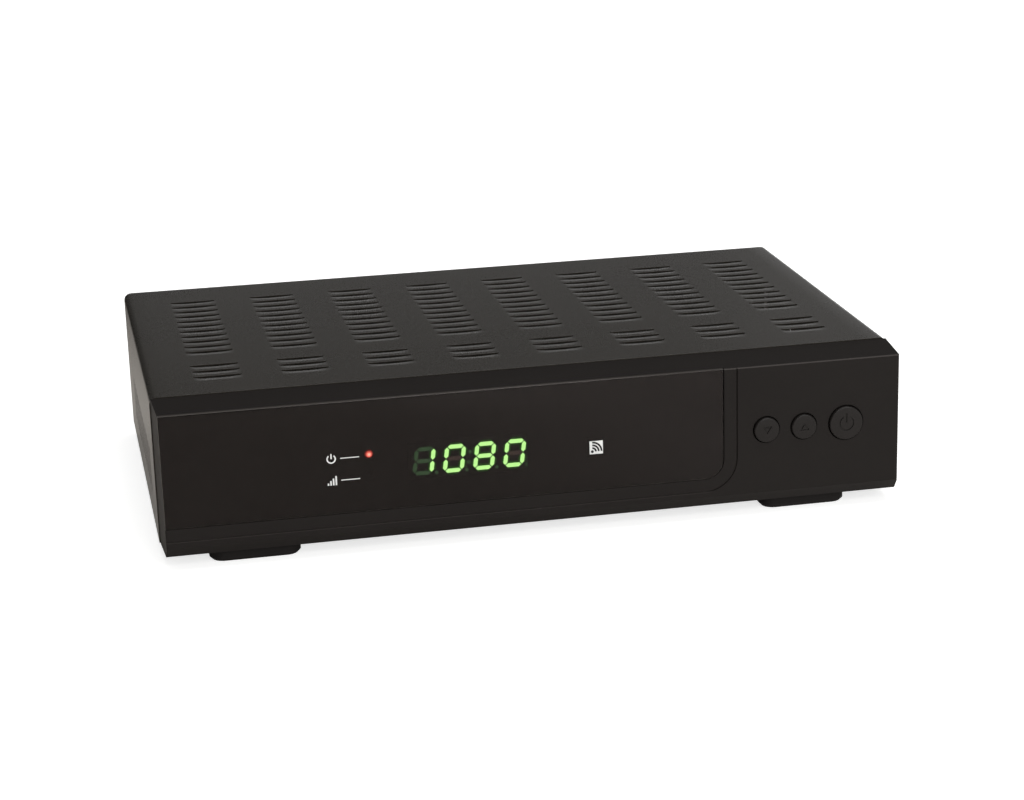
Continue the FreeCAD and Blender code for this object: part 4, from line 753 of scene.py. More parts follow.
@dataclass
class Workshop:
    """Builds each finish once, and finishes the pieces of every sub-assembly."""

    made: dict[Surface, bpy.types.Material] = field(default_factory=dict)

    def paint(self, obj: Piece, finish: Surface) -> None:
        """Put one finish on a whole object.

        Args:
            obj: The object.
            finish: What it is made of.
        """
        if finish not in self.made:
            self.made[finish] = finish.build()
        obj.data.materials.clear()
        obj.data.materials.append(self.made[finish])

    def deliver(
        self,
        obj: Piece,
        finish: Surface,
        slot: str,
        body: str = BODY,
        replaced: tuple[str, ...] = (),
    ) -> None:
        """Finish a piece: smooth it, paint it and hang it on its body.

        Args:
            obj: The piece.
            finish: Its finish.
            slot: The record's material slot; not used.
            body: The body that it rides on.
            replaced: The CAD nodes that it stands for.
        """
        take(obj)
        bpy.ops.object.shade_smooth_by_angle(angle=SMOOTH_BELOW)
        self.paint(obj, finish)
        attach(obj, body)
        if replaced:
            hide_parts(*replaced)
        LOG.info("%s rides on %s, %d faces", obj.name, body, len(obj.data.polygons))


# ---------------------------------------------------------------- cover
@dataclass
class VentedCover:
    """The bent cover with its pressed louvres and slotted sides. Lengths are in millimetres."""

    shop: Workshop
    sheet: float = 0.6
    bend: float = 2.6
    bend_steps: int = 5
    louvre_length: float = 16.5
    louvre_opening: float = 1.5
    louvre_lip: float = 3.6
    louvre_dip: float = 0.37
    crown_along: float = 0.4
    crown_across: float = 1.2
    score: float = 0.4
    louvre_pitch: float = 7.2
    columns: int = 8
    side_margin: float = 24.7
    back_margin: float = 20.0
    back_rows: int = 11
    front_margin: float = 20.9
    front_rows: int = 3
    shares_along: tuple[float, ...] = (0.08, 0.2, 0.35, 0.5, 0.65, 0.8, 0.92)
    shares_across: tuple[float, ...] = (0.25, 0.5, 0.75, 1.0)
    slot_start: float = 23.7
    slot_width: float = 2.4
    slot_pitch: float = 7.2
    slots: int = 13
    slot_low: float = 10.7
    slot_high: float = 26.7
    ears: tuple[float, ...] = (-113.7, -28.0, 113.7)
    ear_width: float = 14.0
    ear_drop: float = 11.0
    edge_break: float = 0.07
    break_above: float = math.radians(50)

    def build(self) -> None:
        """Model the cover from one sheet and hang it on the housing."""
        low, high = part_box("top_cover")
        self.low, self.high = low / MM, high / MM
        self.top, self.fold = self.high.z * MM, self.high.x - self.bend
        first = self.low.x + self.side_margin
        pitch = (self.high.x - self.low.x - 2 * self.side_margin) / (self.columns - 1)
        self.middles = [first + n * pitch for n in range(self.columns)]
        last, foremost = self.high.y - self.back_margin, self.low.y + self.front_margin
        self.backs = [last - n * self.louvre_pitch for n in range(self.back_rows)]
        self.backs += [foremost + n * self.louvre_pitch for n in range(self.front_rows)]
        cover = self.lay_sheet()
        self.press_louvres(cover)
        self.fold_sides(cover)
        self.fold_ears(cover)
        self.give_thickness(cover)
        self.shop.deliver(cover, POWDER_COAT, "cover_paint", replaced=("top_cover",))

    def lay_sheet(self) -> Piece:
        """Lay the flat top and score it wherever something is cut, pressed or folded.

        Returns:
            The flat sheet.
        """
        half = self.louvre_length / 2
        xs: set[float] = set()
        for middle in self.middles:
            left, right = middle - half, middle + half
            xs |= {left - self.score, left, right, right + self.score}
            xs |= {left + self.louvre_length * share for share in self.shares_along}
        for ear in self.ears:
            xs |= {ear - self.ear_width / 2, ear + self.ear_width / 2}
        ys: set[float] = set()
        for back in self.backs:
            start = back - self.louvre_opening - self.louvre_lip
            ys |= {back, start, start - self.score}
            ys |= {start + self.louvre_lip * share for share in self.shares_across}
        for n in range(self.slots):
            start = self.low.y + self.slot_start + n * self.slot_pitch
            ys |= {start, start + self.slot_width}
        middle = Vector((0, (self.low.y + self.high.y) / 2, self.high.z)) * MM
        size = (2 * self.fold * MM, (self.high.y - self.low.y) * MM, 1)
        plane = bpy.ops.mesh.primitive_plane_add
        cover = add_shape(plane, "louvred_cover", size, size=1, location=middle)
        open_whole(cover)
        for normal, levels in (((1, 0, 0), xs), ((0, 1, 0), ys)):
            for level in sorted(levels):
                bpy.ops.mesh.select_all(action="SELECT")
                place = [part * level * MM for part in normal]
                bpy.ops.mesh.bisect(plane_co=place, plane_no=normal)
        done()
        return cover

    def share_along(self, x: float) -> float | None:
        """Tell how far along its louvre a place lies.

        Args:
            x: The place along X, in millimetres.

        Returns:
            From 0 to 1, or None where no louvre is.
        """
        for middle in self.middles:
            share = (x - middle) / self.louvre_length + 0.5
            if 0 < share < 1:
                return share
        return None

    def dip(self, point: Vector) -> float:
        """Work out how deep a point of the flat top is pressed.

        Args:
            point: A point of the sheet, in metres.

        Returns:
            The depth in millimetres, deepest in the middle of a lip's free edge.
        """
        slack = 0.01
        along = self.share_along(point.x / MM)
        if along is None or not slack < along < 1 - slack:
            return 0.0
        for back in self.backs:
            across = (point.y / MM - back + self.louvre_opening) / self.louvre_lip + 1
            if slack < across < 1 + slack:
                crown = math.sin(math.pi * along) ** self.crown_along
                return round(self.louvre_dip * crown * min(across, 1.0) ** self.crown_across, 3)
        return 0.0

    def in_opening(self, centre: Vector, _: Vector) -> bool:
        """Tell whether a face of the flat top is cut away behind a lip."""
        rows = any(back - self.louvre_opening < centre.y / MM < back for back in self.backs)
        return rows and self.share_along(centre.x / MM) is not None

    def press_louvres(self, cover: Piece) -> None:
        """Lance the narrow openings, then press down the lip in front of each.

        Args:
            cover: The flat sheet.
        """
        pick(cover, Element.FACE, self.in_opening)
        bpy.ops.mesh.delete(type="FACE")
        done()
        for depth in sorted({self.dip(vert.co) for vert in cover.data.vertices} - {0.0}):
            pick(cover, Element.VERT, lambda point, _: self.dip(point) == depth)
            bpy.ops.transform.translate(value=(0, 0, -depth * MM))
            done()

    def in_slot(self, centre: Vector, normal: Vector) -> bool:
        """Tell whether a face is cut away for a slot.

        Args:
            centre: The face's middle.
            normal: The direction that it faces.

        Returns:
            True for the faces of a side that lie in a slot.
        """
        tall = self.slot_low < centre.z / MM - self.low.z < self.slot_high
        along = centre.y / MM - self.low.y - self.slot_start
        in_row = 0 <= along <= (self.slots - 1) * self.slot_pitch + self.slot_width
        upright = abs(normal.x) > SQUARE_ON
        return upright and tall and in_row and along % self.slot_pitch < self.slot_width

    def fold_sides(self, cover: Piece) -> None:
        """Bend both sides down and slot them.

        Args:
            cover: The sheet with its louvres.
        """
        for side in (-1, 1):
            edge = side * self.fold * MM
            pick(cover, Element.EDGE, lambda *p: flush(Z, self.top, *p) and flush(X, edge, *p))
            for step in range(self.bend_steps):
                here, there = (QUARTER * (step + n) / self.bend_steps for n in (0, 1))
                out = self.bend * (math.sin(there) - math.sin(here))
                down = self.bend * (math.cos(there) - math.cos(here))
                push((side * out * MM, 0, down * MM), Element.EDGE)
            level = self.high.z - self.bend
            for stop in (self.low.z + self.slot_high, self.low.z + self.slot_low, self.low.z):
                push((0, 0, (stop - level) * MM), Element.EDGE)
                level = stop
            done()
        pick(cover, Element.FACE, self.in_slot)
        bpy.ops.mesh.delete(type="FACE")
        done()

    def on_ear(self, first: Vector, second: Vector) -> bool:
        """Tell whether an edge of the sheet is where an ear folds down.

        Args:
            first: One end of the edge.
            second: Its other end.

        Returns:
            True for the edges at the back that lie in an ear's width.
        """
        middle = (first.x + second.x) / 2 / MM
        in_ear = any(abs(middle - ear) < self.ear_width / 2 for ear in self.ears)
        at_back = flush(Y, self.high.y * MM, first, second)
        return in_ear and at_back and flush(Z, self.top, first, second)

    def fold_ears(self, cover: Piece) -> None:
        """Fold the screw ears down over the rear wall.

        Args:
            cover: The sheet with its sides.
        """
        pick(cover, Element.EDGE, self.on_ear)
        push((0, 0, -self.ear_drop * MM), Element.EDGE)
        done()

    def give_thickness(self, cover: Piece) -> None:
        """Give the sheet its thickness and break its edges.

        Args:
            cover: The folded sheet.
        """
        open_whole(cover)
        face_outwards()
        done()
        top = max(cover.data.polygons, key=lambda face: face.center.z)
        if top.normal.z < 0:
            cover.data.flip_normals()
        apply_modifier(cover, "SOLIDIFY", thickness=self.sheet * MM, offset=-1.0)
        sharp = {"limit_method": "ANGLE", "angle_limit": self.break_above}
        apply_modifier(cover, "BEVEL", width=self.edge_break * MM, segments=1, **sharp)


# ---------------------------------------------------------------- display
class Digit(Enum):
    """Which of the seven segments a digit lights: top, upper right, lower right and so on."""

    ZERO = "abcdef"
    ONE = "bc"
    EIGHT = "abcdefg"


@dataclass
class SegmentDisplay:
    """Four slanted digits with a colon and points. Lengths are in millimetres."""

    shop: Workshop
    reading: tuple[Digit, ...] = (Digit.ONE, Digit.ZERO, Digit.EIGHT, Digit.ZERO)
    pitch: float = 10.4
    height: float = 9.8
    width: float = 7.2
    bar: float = 1.4
    gap: float = 0.34
    across_mitre: float = 1.4
    blunt_tip: float = 0.04
    slant: float = 7.6
    rise: float = 0.18
    halo: float = 0.7
    halo_depth: float = 0.08
    dot: float = 0.6
    dot_sides: int = 16
    point_out: float = 1.1
    point_up: float = 0.5
    colon: float = 1.8
    offset: tuple[float, float] = (0.68, -0.42)

    def build(self) -> None:
        """Model one bar, copy it to every segment and sort them into lit and dark."""
        low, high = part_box("led_display")
        self.face = low.y
        self.middle = (low + high) / 2 + Vector((self.offset[0], 0, self.offset[1])) * MM
        spans = {"flat": self.width - self.bar, "upright": (self.height - self.bar) / 2}
        bars = {kind: self.model_bar(span, self.bar) for kind, span in spans.items()}
        halos = {
            kind: self.model_bar(span + self.halo, self.bar + 2 * self.halo)
            for kind, span in spans.items()
        }
        painted_green_glow: list[Piece] = []
        lit: list[Piece] = []
        dark: list[Piece] = []
        glow: list[Piece] = []
        for place, digit in enumerate(self.reading):
            for name, (x, z, upright) in self.layout().items():
                kind = "upright" if upright else "flat"
                beside = painted_green_glow if digit is Digit.ONE else dark
                target = lit if name in digit.value else beside
                target.append(copy_of(bars[kind], self.seat(place, x, z, upright)))
                if name in digit.value:
                    behind = self.seat(place, x, z, upright, self.halo_depth)
                    glow.append(copy_of(halos[kind], behind))
        painted_green_glow += self.dots()
        for bar in (*bars.values(), *halos.values()):
            bpy.data.objects.remove(bar)
        self.shop.deliver(join(lit, "lit_segments"), GREEN_GLOW, "green_lamp")
        # Points and the dark segments of the lit digit are no lamps: their faint glow is painted.
        self.shop.deliver(join(painted_green_glow, "digit_and_points_painted_glow"), GREEN_PAINTED_GLOW, "digit_face")
        # The other dark segments get a painted glow too.
        self.shop.deliver(join(dark, "dark_segments_painted_glow"), RESIN_PAINTED_GLOW, "digit_face")
        self.shop.deliver(join(glow, "segment_halo"), GREEN_HALO, "green_lamp")

    def layout(self) -> dict[str, tuple[float, float, bool]]:
        """Place the segments.

        Returns:
            Each segment's place from the digit's middle, and whether it stands upright.
        """
        side = (self.width - self.bar) / 2
        tall = (self.height - self.bar) / 2
        return {
            "a": (0, tall, False),
            "b": (side, tall / 2, True),
            "c": (side, -tall / 2, True),
            "d": (0, -tall, False),
            "e": (-side, -tall / 2, True),
            "f": (-side, tall / 2, True),
            "g": (0, 0, False),
        }

    def model_bar(self, span: float, thick: float) -> Piece:
        """Model one bar with mitred ends, lying along X at the origin.

        Args:
            span: Distance between the corners that it joins.
            thick: Width of the bar.

        Returns:
            The bar.
        """
        body = span - thick - self.gap * self.across_mitre
        low = Vector((-body / 2, -self.rise, -thick / 2)) * MM
        high = Vector((body / 2, 0, thick / 2)) * MM
        bar = add_box(low, high, "bar")
        for side in (-1, 1):
            pick(bar, Element.FACE, lambda _, normal: normal.x * side > SQUARE_ON)
            push((side * thick / 2 * MM, 0, 0))
            bpy.ops.transform.resize(value=(1, 1, self.blunt_tip))
            done()
        return bar

    def seat(self, place: int, x: float, z: float, upright: bool, behind: float = 0.0) -> Matrix:
        """Work out where a bar goes.

        Args:
            place: Which digit, from the left.
            x: Offset from the digit's middle.
            z: Height from the digit's middle.
            upright: Whether the bar stands.
            behind: How far back it is set.

        Returns:
            The matrix that stands the bar on the display's face, slanted.
        """
        lean = Matrix.Identity(4)
        lean[0][2] = math.tan(math.radians(self.slant))
        turn = Matrix.Rotation(QUARTER if upright else 0, 4, "Y")
        digit_x = self.middle.x + (place - (len(self.reading) - 1) / 2) * self.pitch * MM
        home = Vector((digit_x, self.face + behind * MM, self.middle.z))
        return Matrix.Translation(home) @ lean @ Matrix.Translation(Vector((x, 0, z)) * MM) @ turn

    def dots(self) -> list[Piece]:
        """Model the unlit points after each digit and the unlit colon.

        Returns:
            The dots.
        """
        right, low = self.width / 2 + self.point_out, self.point_up - self.height / 2
        places = [(n, right, low) for n in range(len(self.reading))]
        places += [(1, self.pitch / 2, level) for level in (self.colon, -self.colon)]
        made = []
        for place, x, z in places:
            centre = self.seat(place, x, z, False).translation - Vector((0, self.rise / 2 * MM, 0))
            made.append(add_rod(centre, self.dot * MM, self.rise * MM, "dot", self.dot_sides))
        return made


# ---------------------------------------------------------------- print on the window
@dataclass
class WindowPrint:
    """Ink on the window: plain signs beside the lamps and over the infrared eye.

    Lengths are in millimetres.
    """

    shop: Workshop
    ink: float = 0.04
    sign: float = 3.2
    stroke: float = 0.46
    ring_sides: int = 48
    ring_gap: float = 70.0
    bar_rise: float = 0.2
    bar_count: int = 4
    bar_share: float = 0.6
    gap_to_lamp: float = 5.4
    leader: float = 7.6
    leader_start: float = 0.95
    leader_end: float = 3.6
    eye_side: float = 4.7
    eye_corner: float = 0.25
    wave: float = 0.62
    wave_radii: Point = (1.25, 2.25, 3.25)
    wave_gap: float = 270.0
    wave_back: float = 225.0
    wave_source: float = 1.4
    source_radius: float = 0.5
    source_sides: int = 20

    def build(self) -> None:
        """Model the signs and put them on the window's face."""
        self.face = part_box("display_window")[0].y
        lamp, signal = (self.middle_of(name) for name in ("power_lamp", "signal_lamp"))
        left = lamp.x - (self.gap_to_lamp + self.leader) * MM
        marks = self.standby(Vector((left, self.face, lamp.z)))
        marks += self.bars(Vector((left, self.face, signal.z)))
        start, stop = left + self.sign * self.leader_start * MM, lamp.x - self.leader_end * MM
        thin = self.stroke / 3 * MM
        marks += [self.patch(start, z - thin, stop, z + thin) for z in (lamp.z, signal.z)]
        self.shop.deliver(join(marks, "lamp_signs"), WHITE_INK, "white_plastic")
        self.eye_mark()

    @staticmethod
    def middle_of(node: str) -> Vector:
        """Middle of a CAD node's box."""
        low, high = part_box(node)
        return (low + high) / 2

    def patch(self, left: float, low: float, right: float, high: float) -> Piece:
        """Lay one rectangle of ink; its sides are in metres."""
        front = Vector((left, self.face - self.ink * MM, low))
        return add_box(front, Vector((right, self.face, high)), "ink")

    def arc(
        self,
        centre: Vector,
        radius: float,
        gap: float,
        facing: float,
        stroke: float,
        lift: float = 0.0,
    ) -> Piece:
        """Lay a ring of ink that is open on one side.

        Args:
            centre: Its middle, on the window's face.
            radius: Radius of the middle of the stroke, in millimetres.
            gap: Angle left open, in degrees.
            facing: Direction of the gap, in degrees from +X towards +Z.
            stroke: Width of the stroke, in millimetres.
            lift: How far the ink stands over other ink.

        Returns:
            The ring.
        """
        inner = radius - stroke / 2
        settings = {"vertices": self.ring_sides, "radius": inner * MM, "location": centre}
        circle = bpy.ops.mesh.primitive_circle_add
        ring = add_shape(circle, "ink", rotation=(QUARTER, 0, 0), **settings)
        open_whole(ring)
        bpy.ops.mesh.extrude_edges_move()
        grow = (radius + stroke / 2) / inner
        bpy.ops.transform.resize(value=(grow, 1, grow), center_override=centre)
        done()

        def in_gap(middle: Vector, _: Vector) -> bool:
            """Tell whether a face of the ring lies in its gap."""
            angle = math.degrees(math.atan2(middle.z - centre.z, middle.x - centre.x))
            return abs((angle - facing + 180) % 360 - 180) < gap / 2

        pick(ring, Element.FACE, in_gap)
        bpy.ops.mesh.delete(type="FACE")
        bpy.ops.mesh.select_all(action="SELECT")
        push((0, -self.ink * MM, 0))
        face_outwards()
        bpy.ops.transform.translate(value=(0, -lift * MM, 0))
        done()
        return ring

    def standby(self, centre: Vector) -> list[Piece]:
        """Draw the usual sign for power: a ring open at the top, with a bar.

        Args:
            centre: Its middle, on the window's face.

        Returns:
            The ring and the bar.
        """
        up = 90.0
        radius = self.sign / 2 - self.stroke / 2
        ring = self.arc(centre, radius, self.ring_gap, up, self.stroke)
        half, tall = self.stroke / 2 * MM, (self.sign / 2 + self.bar_rise) * MM
        return [ring, self.patch(centre.x - half, centre.z, centre.x + half, centre.z + tall)]

    def bars(self, centre: Vector) -> list[Piece]:
        """Draw the usual sign for reception: bars that rise to the right.

        Args:
            centre: Its middle, on the window's face.

        Returns:
            The bars.
        """
        step = self.sign / (self.bar_count - 1 + self.bar_share) * MM
        foot = centre.z - self.sign / 2 * MM
        made = []
        for n in range(self.bar_count):
            left = centre.x + n * step - self.sign / 2 * MM
            top = foot + self.sign * (n + 1) / self.bar_count * MM
            made.append(self.patch(left, foot, left + step * self.bar_share, top))
        return made

    def eye_mark(self) -> None:
        """Put a white square with a plain sign for waves over the infrared eye."""
        centre = self.middle_of("ir_receiver")
        centre.y = self.face
        half = self.eye_side / 2 * MM
        square = self.patch(centre.x - half, centre.z - half, centre.x + half, centre.z + half)
        corners = {"width": self.eye_corner * MM, "segments": 2, "limit_method": "ANGLE"}
        apply_modifier(square, "BEVEL", **corners)
        self.shop.deliver(join([square], "eye_square"), WHITE_INK, "white_plastic")
        source = centre - Vector((self.wave_source, 0, self.wave_source)) * MM
        shape = (self.wave_gap, self.wave_back, self.wave, self.ink)
        waves = [self.arc(source, radius, *shape) for radius in self.wave_radii]
        middle = source - Vector((0, self.ink * 1.5 * MM, 0))
        disc = (self.source_radius * MM, self.ink * MM, "ink", self.source_sides)
        waves.append(add_rod(middle, *disc))
        self.shop.deliver(join(waves, "eye_waves"), BLACK_INK, "black_case")


# ---------------------------------------------------------------- window
@dataclass
class SmokedPlate:
    """The smoked window: one big corner, softly rounded front edges. Lengths in millimetres."""

    shop: Workshop
    corner: float = 6.75
    corner_steps: int = 12
    edge_round: float = 0.3
    edge_steps: int = 3
    sag: float = 0.15
    air: float = 0.03

    def build(self) -> None:
        """Model the plate and lay it in its seat."""
        low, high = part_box("display_window")
        low.z -= self.sag * MM
        high.y -= self.air * MM
        plate = add_box(low, high, "smoked_plate")
        big = (self.corner, self.corner_steps)
        round_edges(plate, lambda *p: flush(X, high.x, *p) and flush(Z, low.z, *p), *big)
        round_edges(plate, lambda *p: flush(Y, low.y, *p), self.edge_round, self.edge_steps)
        self.shop.deliver(plate, SMOKED_WINDOW, "smoked_window", replaced=("display_window",))


# ---------------------------------------------------------------- rear sockets
@dataclass
class ThreadedPost:
    """An aerial connector's barrel with its fine thread and open end. Lengths in millimetres."""

    shop: Workshop
    node: str
    root: float = 0.42
    pitch: float = 0.8
    turns: int = 9
    neck: float = 0.2
    lead: float = 0.6
    chamfer: float = 0.5
    bore: float = 3.16
    bore_depth: float = 5.0
    sides: int = 40

    def build(self) -> None:
        """Draw the barrel out ring by ring, from its seat to its mouth."""
        low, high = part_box(self.node)
        self.middle = (low + high) / 2
        crest = (high.x - low.x) / 2 / MM
        end = high.y / MM
        start = end - self.lead - self.turns * self.pitch
        groove = start - self.pitch / 2
        neck, root = crest - self.neck, crest - self.root
        rings = [(neck, low.y / MM), (neck, groove), (root, groove)]
        for turn in range(self.turns):
            rings += [(crest, start + turn * self.pitch), (root, start + (turn + 0.5) * self.pitch)]
        rings += [(crest, end - self.lead), (crest - self.chamfer, end)]
        rings += [(self.bore, end), (self.bore, end - self.bore_depth)]
        self.shop.deliver(self.draw(rings), NICKEL, "nickel", replaced=(self.node,))

    def draw(self, rings: list[tuple[float, float]]) -> Piece:
        """Draw a tube through rings of a radius and a place along Y.

        Args:
            rings: Radius and place of each ring, in millimetres.

        Returns:
            The closed barrel.
        """
        radius, along = rings[0]
        home = Vector((self.middle.x, along * MM, self.middle.z))
        settings = {"vertices": self.sides, "radius": radius * MM, "fill_type": "NGON"}
        circle = bpy.ops.mesh.primitive_circle_add
        name = self.node.replace("connector", "barrel")
        barrel = add_shape(circle, name, location=home, rotation=(QUARTER, 0, 0), **settings)
        open_whole(barrel)
        for wide, far in rings[1:]:
            push((0, (far - along) * MM, 0))
            pivot = Vector((self.middle.x, far * MM, self.middle.z))
            grow = wide / radius
            bpy.ops.transform.resize(value=(grow, 1, grow), center_override=pivot)
            radius, along = wide, far
        face_outwards()
        done()
        return barrel


@dataclass
class CrossScrews:
    """The three domed screws of the cover, each with a cross recess. Lengths in millimetres."""

    shop: Workshop
    spots: Point = (-113.7, -28.0, 113.7)
    head_radius: float = 2.8
    head_height: float = 1.8
    head_sides: int = 32
    dome: float = 0.9
    dome_steps: int = 4
    shank_radius: float = 1.4
    shank_sides: int = 16
    recess: Point = (2.9, 0.62, 1.1)

    def build(self) -> None:
        """Model one screw, cut its recess and copy it to the other ears."""
        low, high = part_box("cover_screws")
        level = (low.z + high.z) / 2
        first = Vector((self.spots[0] * MM, high.y, level))
        middle = first - Vector((0, self.head_height / 2 * MM, 0))
        size = (self.head_radius * MM, self.head_height * MM)
        head = add_rod(middle, *size, "head", self.head_sides)
        round_edges(head, lambda *p: flush(Y, high.y, *p), self.dome, self.dome_steps)
        long, wide, depth = (value * MM for value in self.recess)
        for across, up in ((long, wide), (wide, long)):
            half = Vector((across / 2, depth, up / 2))
            cut_with(head, add_box(first - half, first + half, "cutter"))
        length = high.y - self.head_height * MM - low.y
        centre = Vector((first.x, low.y + length / 2, level))
        shank = add_rod(centre, self.shank_radius * MM, length, "shank", self.shank_sides)
        screw = join([shank, head], "screw")
        steps = [(x - self.spots[0]) * MM for x in self.spots[1:]]
        others = [copy_of(screw, Matrix.Translation((step, 0, 0))) for step in steps]
        whole = join([*others, screw], "cross_recess_screws")
        self.shop.deliver(whole, BLACK_ZINC, "black_screw", replaced=("cover_screws",))


@dataclass(frozen=True)
class ContactRow:
    """A row of equal contacts in one socket. Lengths are in millimetres, the lean in degrees."""

    socket: str
    count: int
    pitch: float
    blade: Point
    inwards: float
    above: float
    lean: float = 0.0
    rounding: float = 0.25

    def build(self) -> list[Piece]:
        """Model a blade with rounded ends and copy it along X.

        Returns:
            The blades, set back from the socket's mouth and above its foot.
        """
        low, high = (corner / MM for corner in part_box(self.socket))
        half = Vector(self.blade) * MM / 2
        first = add_box(-half, half, "blade")
        apply_modifier(first, "BEVEL", width=min(self.blade) * self.rounding * MM, segments=2)
        lean = Matrix.Rotation(math.radians(-self.lean), 4, "X")
        made = []
        for n in range(self.count):
            x = (low.x + high.x) / 2 + (n - (self.count - 1) / 2) * self.pitch
            home = Vector((x, high.y - self.inwards, low.z + self.above)) * MM
            made.append(copy_of(first, Matrix.Translation(home) @ lean))
        bpy.data.objects.remove(first)
        return made


@dataclass
class SocketContacts:
    """Sprung and flat contacts inside the rear sockets."""

    shop: Workshop
    rows: tuple[ContactRow, ...] = (
        ContactRow("ethernet_socket", 8, 1.02, (0.34, 9.5, 0.3), 7.0, 6.6, 24.0),
        ContactRow("usb_socket", 4, 2.4, (1.1, 8.0, 0.16), 6.2, 2.24),
        ContactRow("hdmi_socket", 9, 1.0, (0.5, 6.4, 0.14), 5.4, 3.64),
        ContactRow("scart_socket", 10, 4.1, (1.9, 9.0, 0.3), 6.0, 6.0),
        ContactRow("scart_socket", 10, 4.1, (1.9, 9.0, 0.3), 6.0, 16.9),
    )

    def build(self) -> None:
        """Build every row and deliver them as one piece."""
        blades = [blade for row in self.rows for blade in row.build()]
        self.shop.deliver(join(blades, "socket_contacts"), GOLD_FLASH, "nickel")


# ---------------------------------------------------------------- push buttons
class Sign(Enum):
    """What is engraved on a button."""

    DOWN = "down"
    UP = "up"
    STANDBY = "standby"


@dataclass
class PushButton:
    """A moulded cap with a rounded rim and an engraved sign. Lengths are in millimetres."""

    shop: Workshop
    name: str
    sign: Sign
    flange: float = 1.0
    flange_thick: float = 0.4
    clearance: float = 0.38
    rim: float = 0.5
    rim_steps: int = 5
    sides: int = 64
    depth: float = 0.35
    stroke: float = 0.5
    arrow: tuple[float, float] = (1.35, 1.0)
    ring: float = 2.5
    ring_steps: int = 16
    ring_ends: tuple[int, int] = (125, 415)
    bar_ends: tuple[float, float] = (0.5, 3.3)

    def build(self) -> None:
        """Model the cap, engrave it and hang it on its own body."""
        low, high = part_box(f"{self.name}_button")
        self.centre = (low + high) / 2
        self.front = low.y
        cap = self.model_cap(high.y, high.x - self.centre.x)
        for tool in self.tools():
            cut_with(cap, tool)
        self.shop.deliver(cap, BUTTON_ABS, "button_plastic", self.name, (f"{self.name}_button",))

    def model_cap(self, back: float, flange: float) -> Piece:
        """Turn the cap with its flange.

        Args:
            back: Where the flange ends, in metres.
            flange: Radius of the flange.

        Returns:
            The cap before engraving.
        """
        radius = flange - (self.flange + self.clearance) * MM
        stop = back - self.flange_thick * MM
        middle = Vector((self.centre.x, (self.front + stop) / 2, self.centre.z))
        cap = add_rod(middle, radius, stop - self.front, f"{self.name}_cap", self.sides)
        pick(cap, Element.FACE, lambda _, normal: normal.y > SQUARE_ON)
        bpy.ops.mesh.extrude_region_move()
        grow = flange / radius
        pivot = Vector((self.centre.x, stop, self.centre.z))
        bpy.ops.transform.resize(value=(grow, 1, grow), center_override=pivot)
        push((0, back - stop, 0))
        done()
        round_edges(cap, lambda *p: flush(Y, self.front, *p), self.rim, self.rim_steps)
        return cap

    def bar(self, start: tuple[float, float], end: tuple[float, float]) -> Piece:
        """Make one straight cutter.

        Args:
            start: Where it starts, from the cap's middle.
            end: Where it ends.

        Returns:
            The cutter, in the cap's face.
        """
        first, second = Vector((start[0], 0, start[1])), Vector((end[0], 0, end[1]))
        along = second - first
        half = Vector((along.length / 2 + self.stroke / 2, self.depth, self.stroke / 2))
        cutter = add_box(-half * MM, half * MM, "cutter")
        angle = math.atan2(along.z, along.x)
        centre = (first + second) / 2 * MM
        home = Vector((self.centre.x, self.front, self.centre.z)) + centre
        cutter.data.transform(Matrix.Translation(home) @ Matrix.Rotation(-angle, 4, "Y"))
        return cutter

    def tools(self) -> list[Piece]:
        """Make the cutters for the sign: an arrowhead, or a ring open at the top with a bar.

        Returns:
            The cutting shapes.
        """
        if self.sign is not Sign.STANDBY:
            wide, tall = self.arrow
            tall = tall if self.sign is Sign.UP else -tall
            tip, left, right = (0, tall), (-wide, -tall), (wide, -tall)
            return [self.bar(left, tip), self.bar(tip, right), self.bar(right, left)]
        first, last = self.ring_ends
        corners = []
        for n in range(self.ring_steps + 1):
            angle = math.radians(first + (last - first) * n / self.ring_steps)
            corners.append((self.ring * math.cos(angle), self.ring * math.sin(angle)))
        low, high = self.bar_ends
        ring = [self.bar(here, there) for here, there in zip(corners, corners[1:])]
        return [self.bar((0, low), (0, high)), *ring]


# ---------------------------------------------------------------- studio
@dataclass(frozen=True)
class SoftBox:
    """A square soft light that looks at the object. Lengths in millimetres, power in watts."""

    name: str
    place: Point
    side: float
    power: float

    def build(self) -> None:
        """Hang the light."""
        lamp = bpy.data.lights.new(self.name, "AREA")
        lamp.size = self.side * MM
        lamp.energy = self.power
        box = bpy.data.objects.new(self.name, lamp)
        box.location = Vector(self.place) * MM
        box.rotation_euler = (-box.location).to_track_quat("-Z", "Y").to_euler()
        bpy.context.collection.objects.link(box)


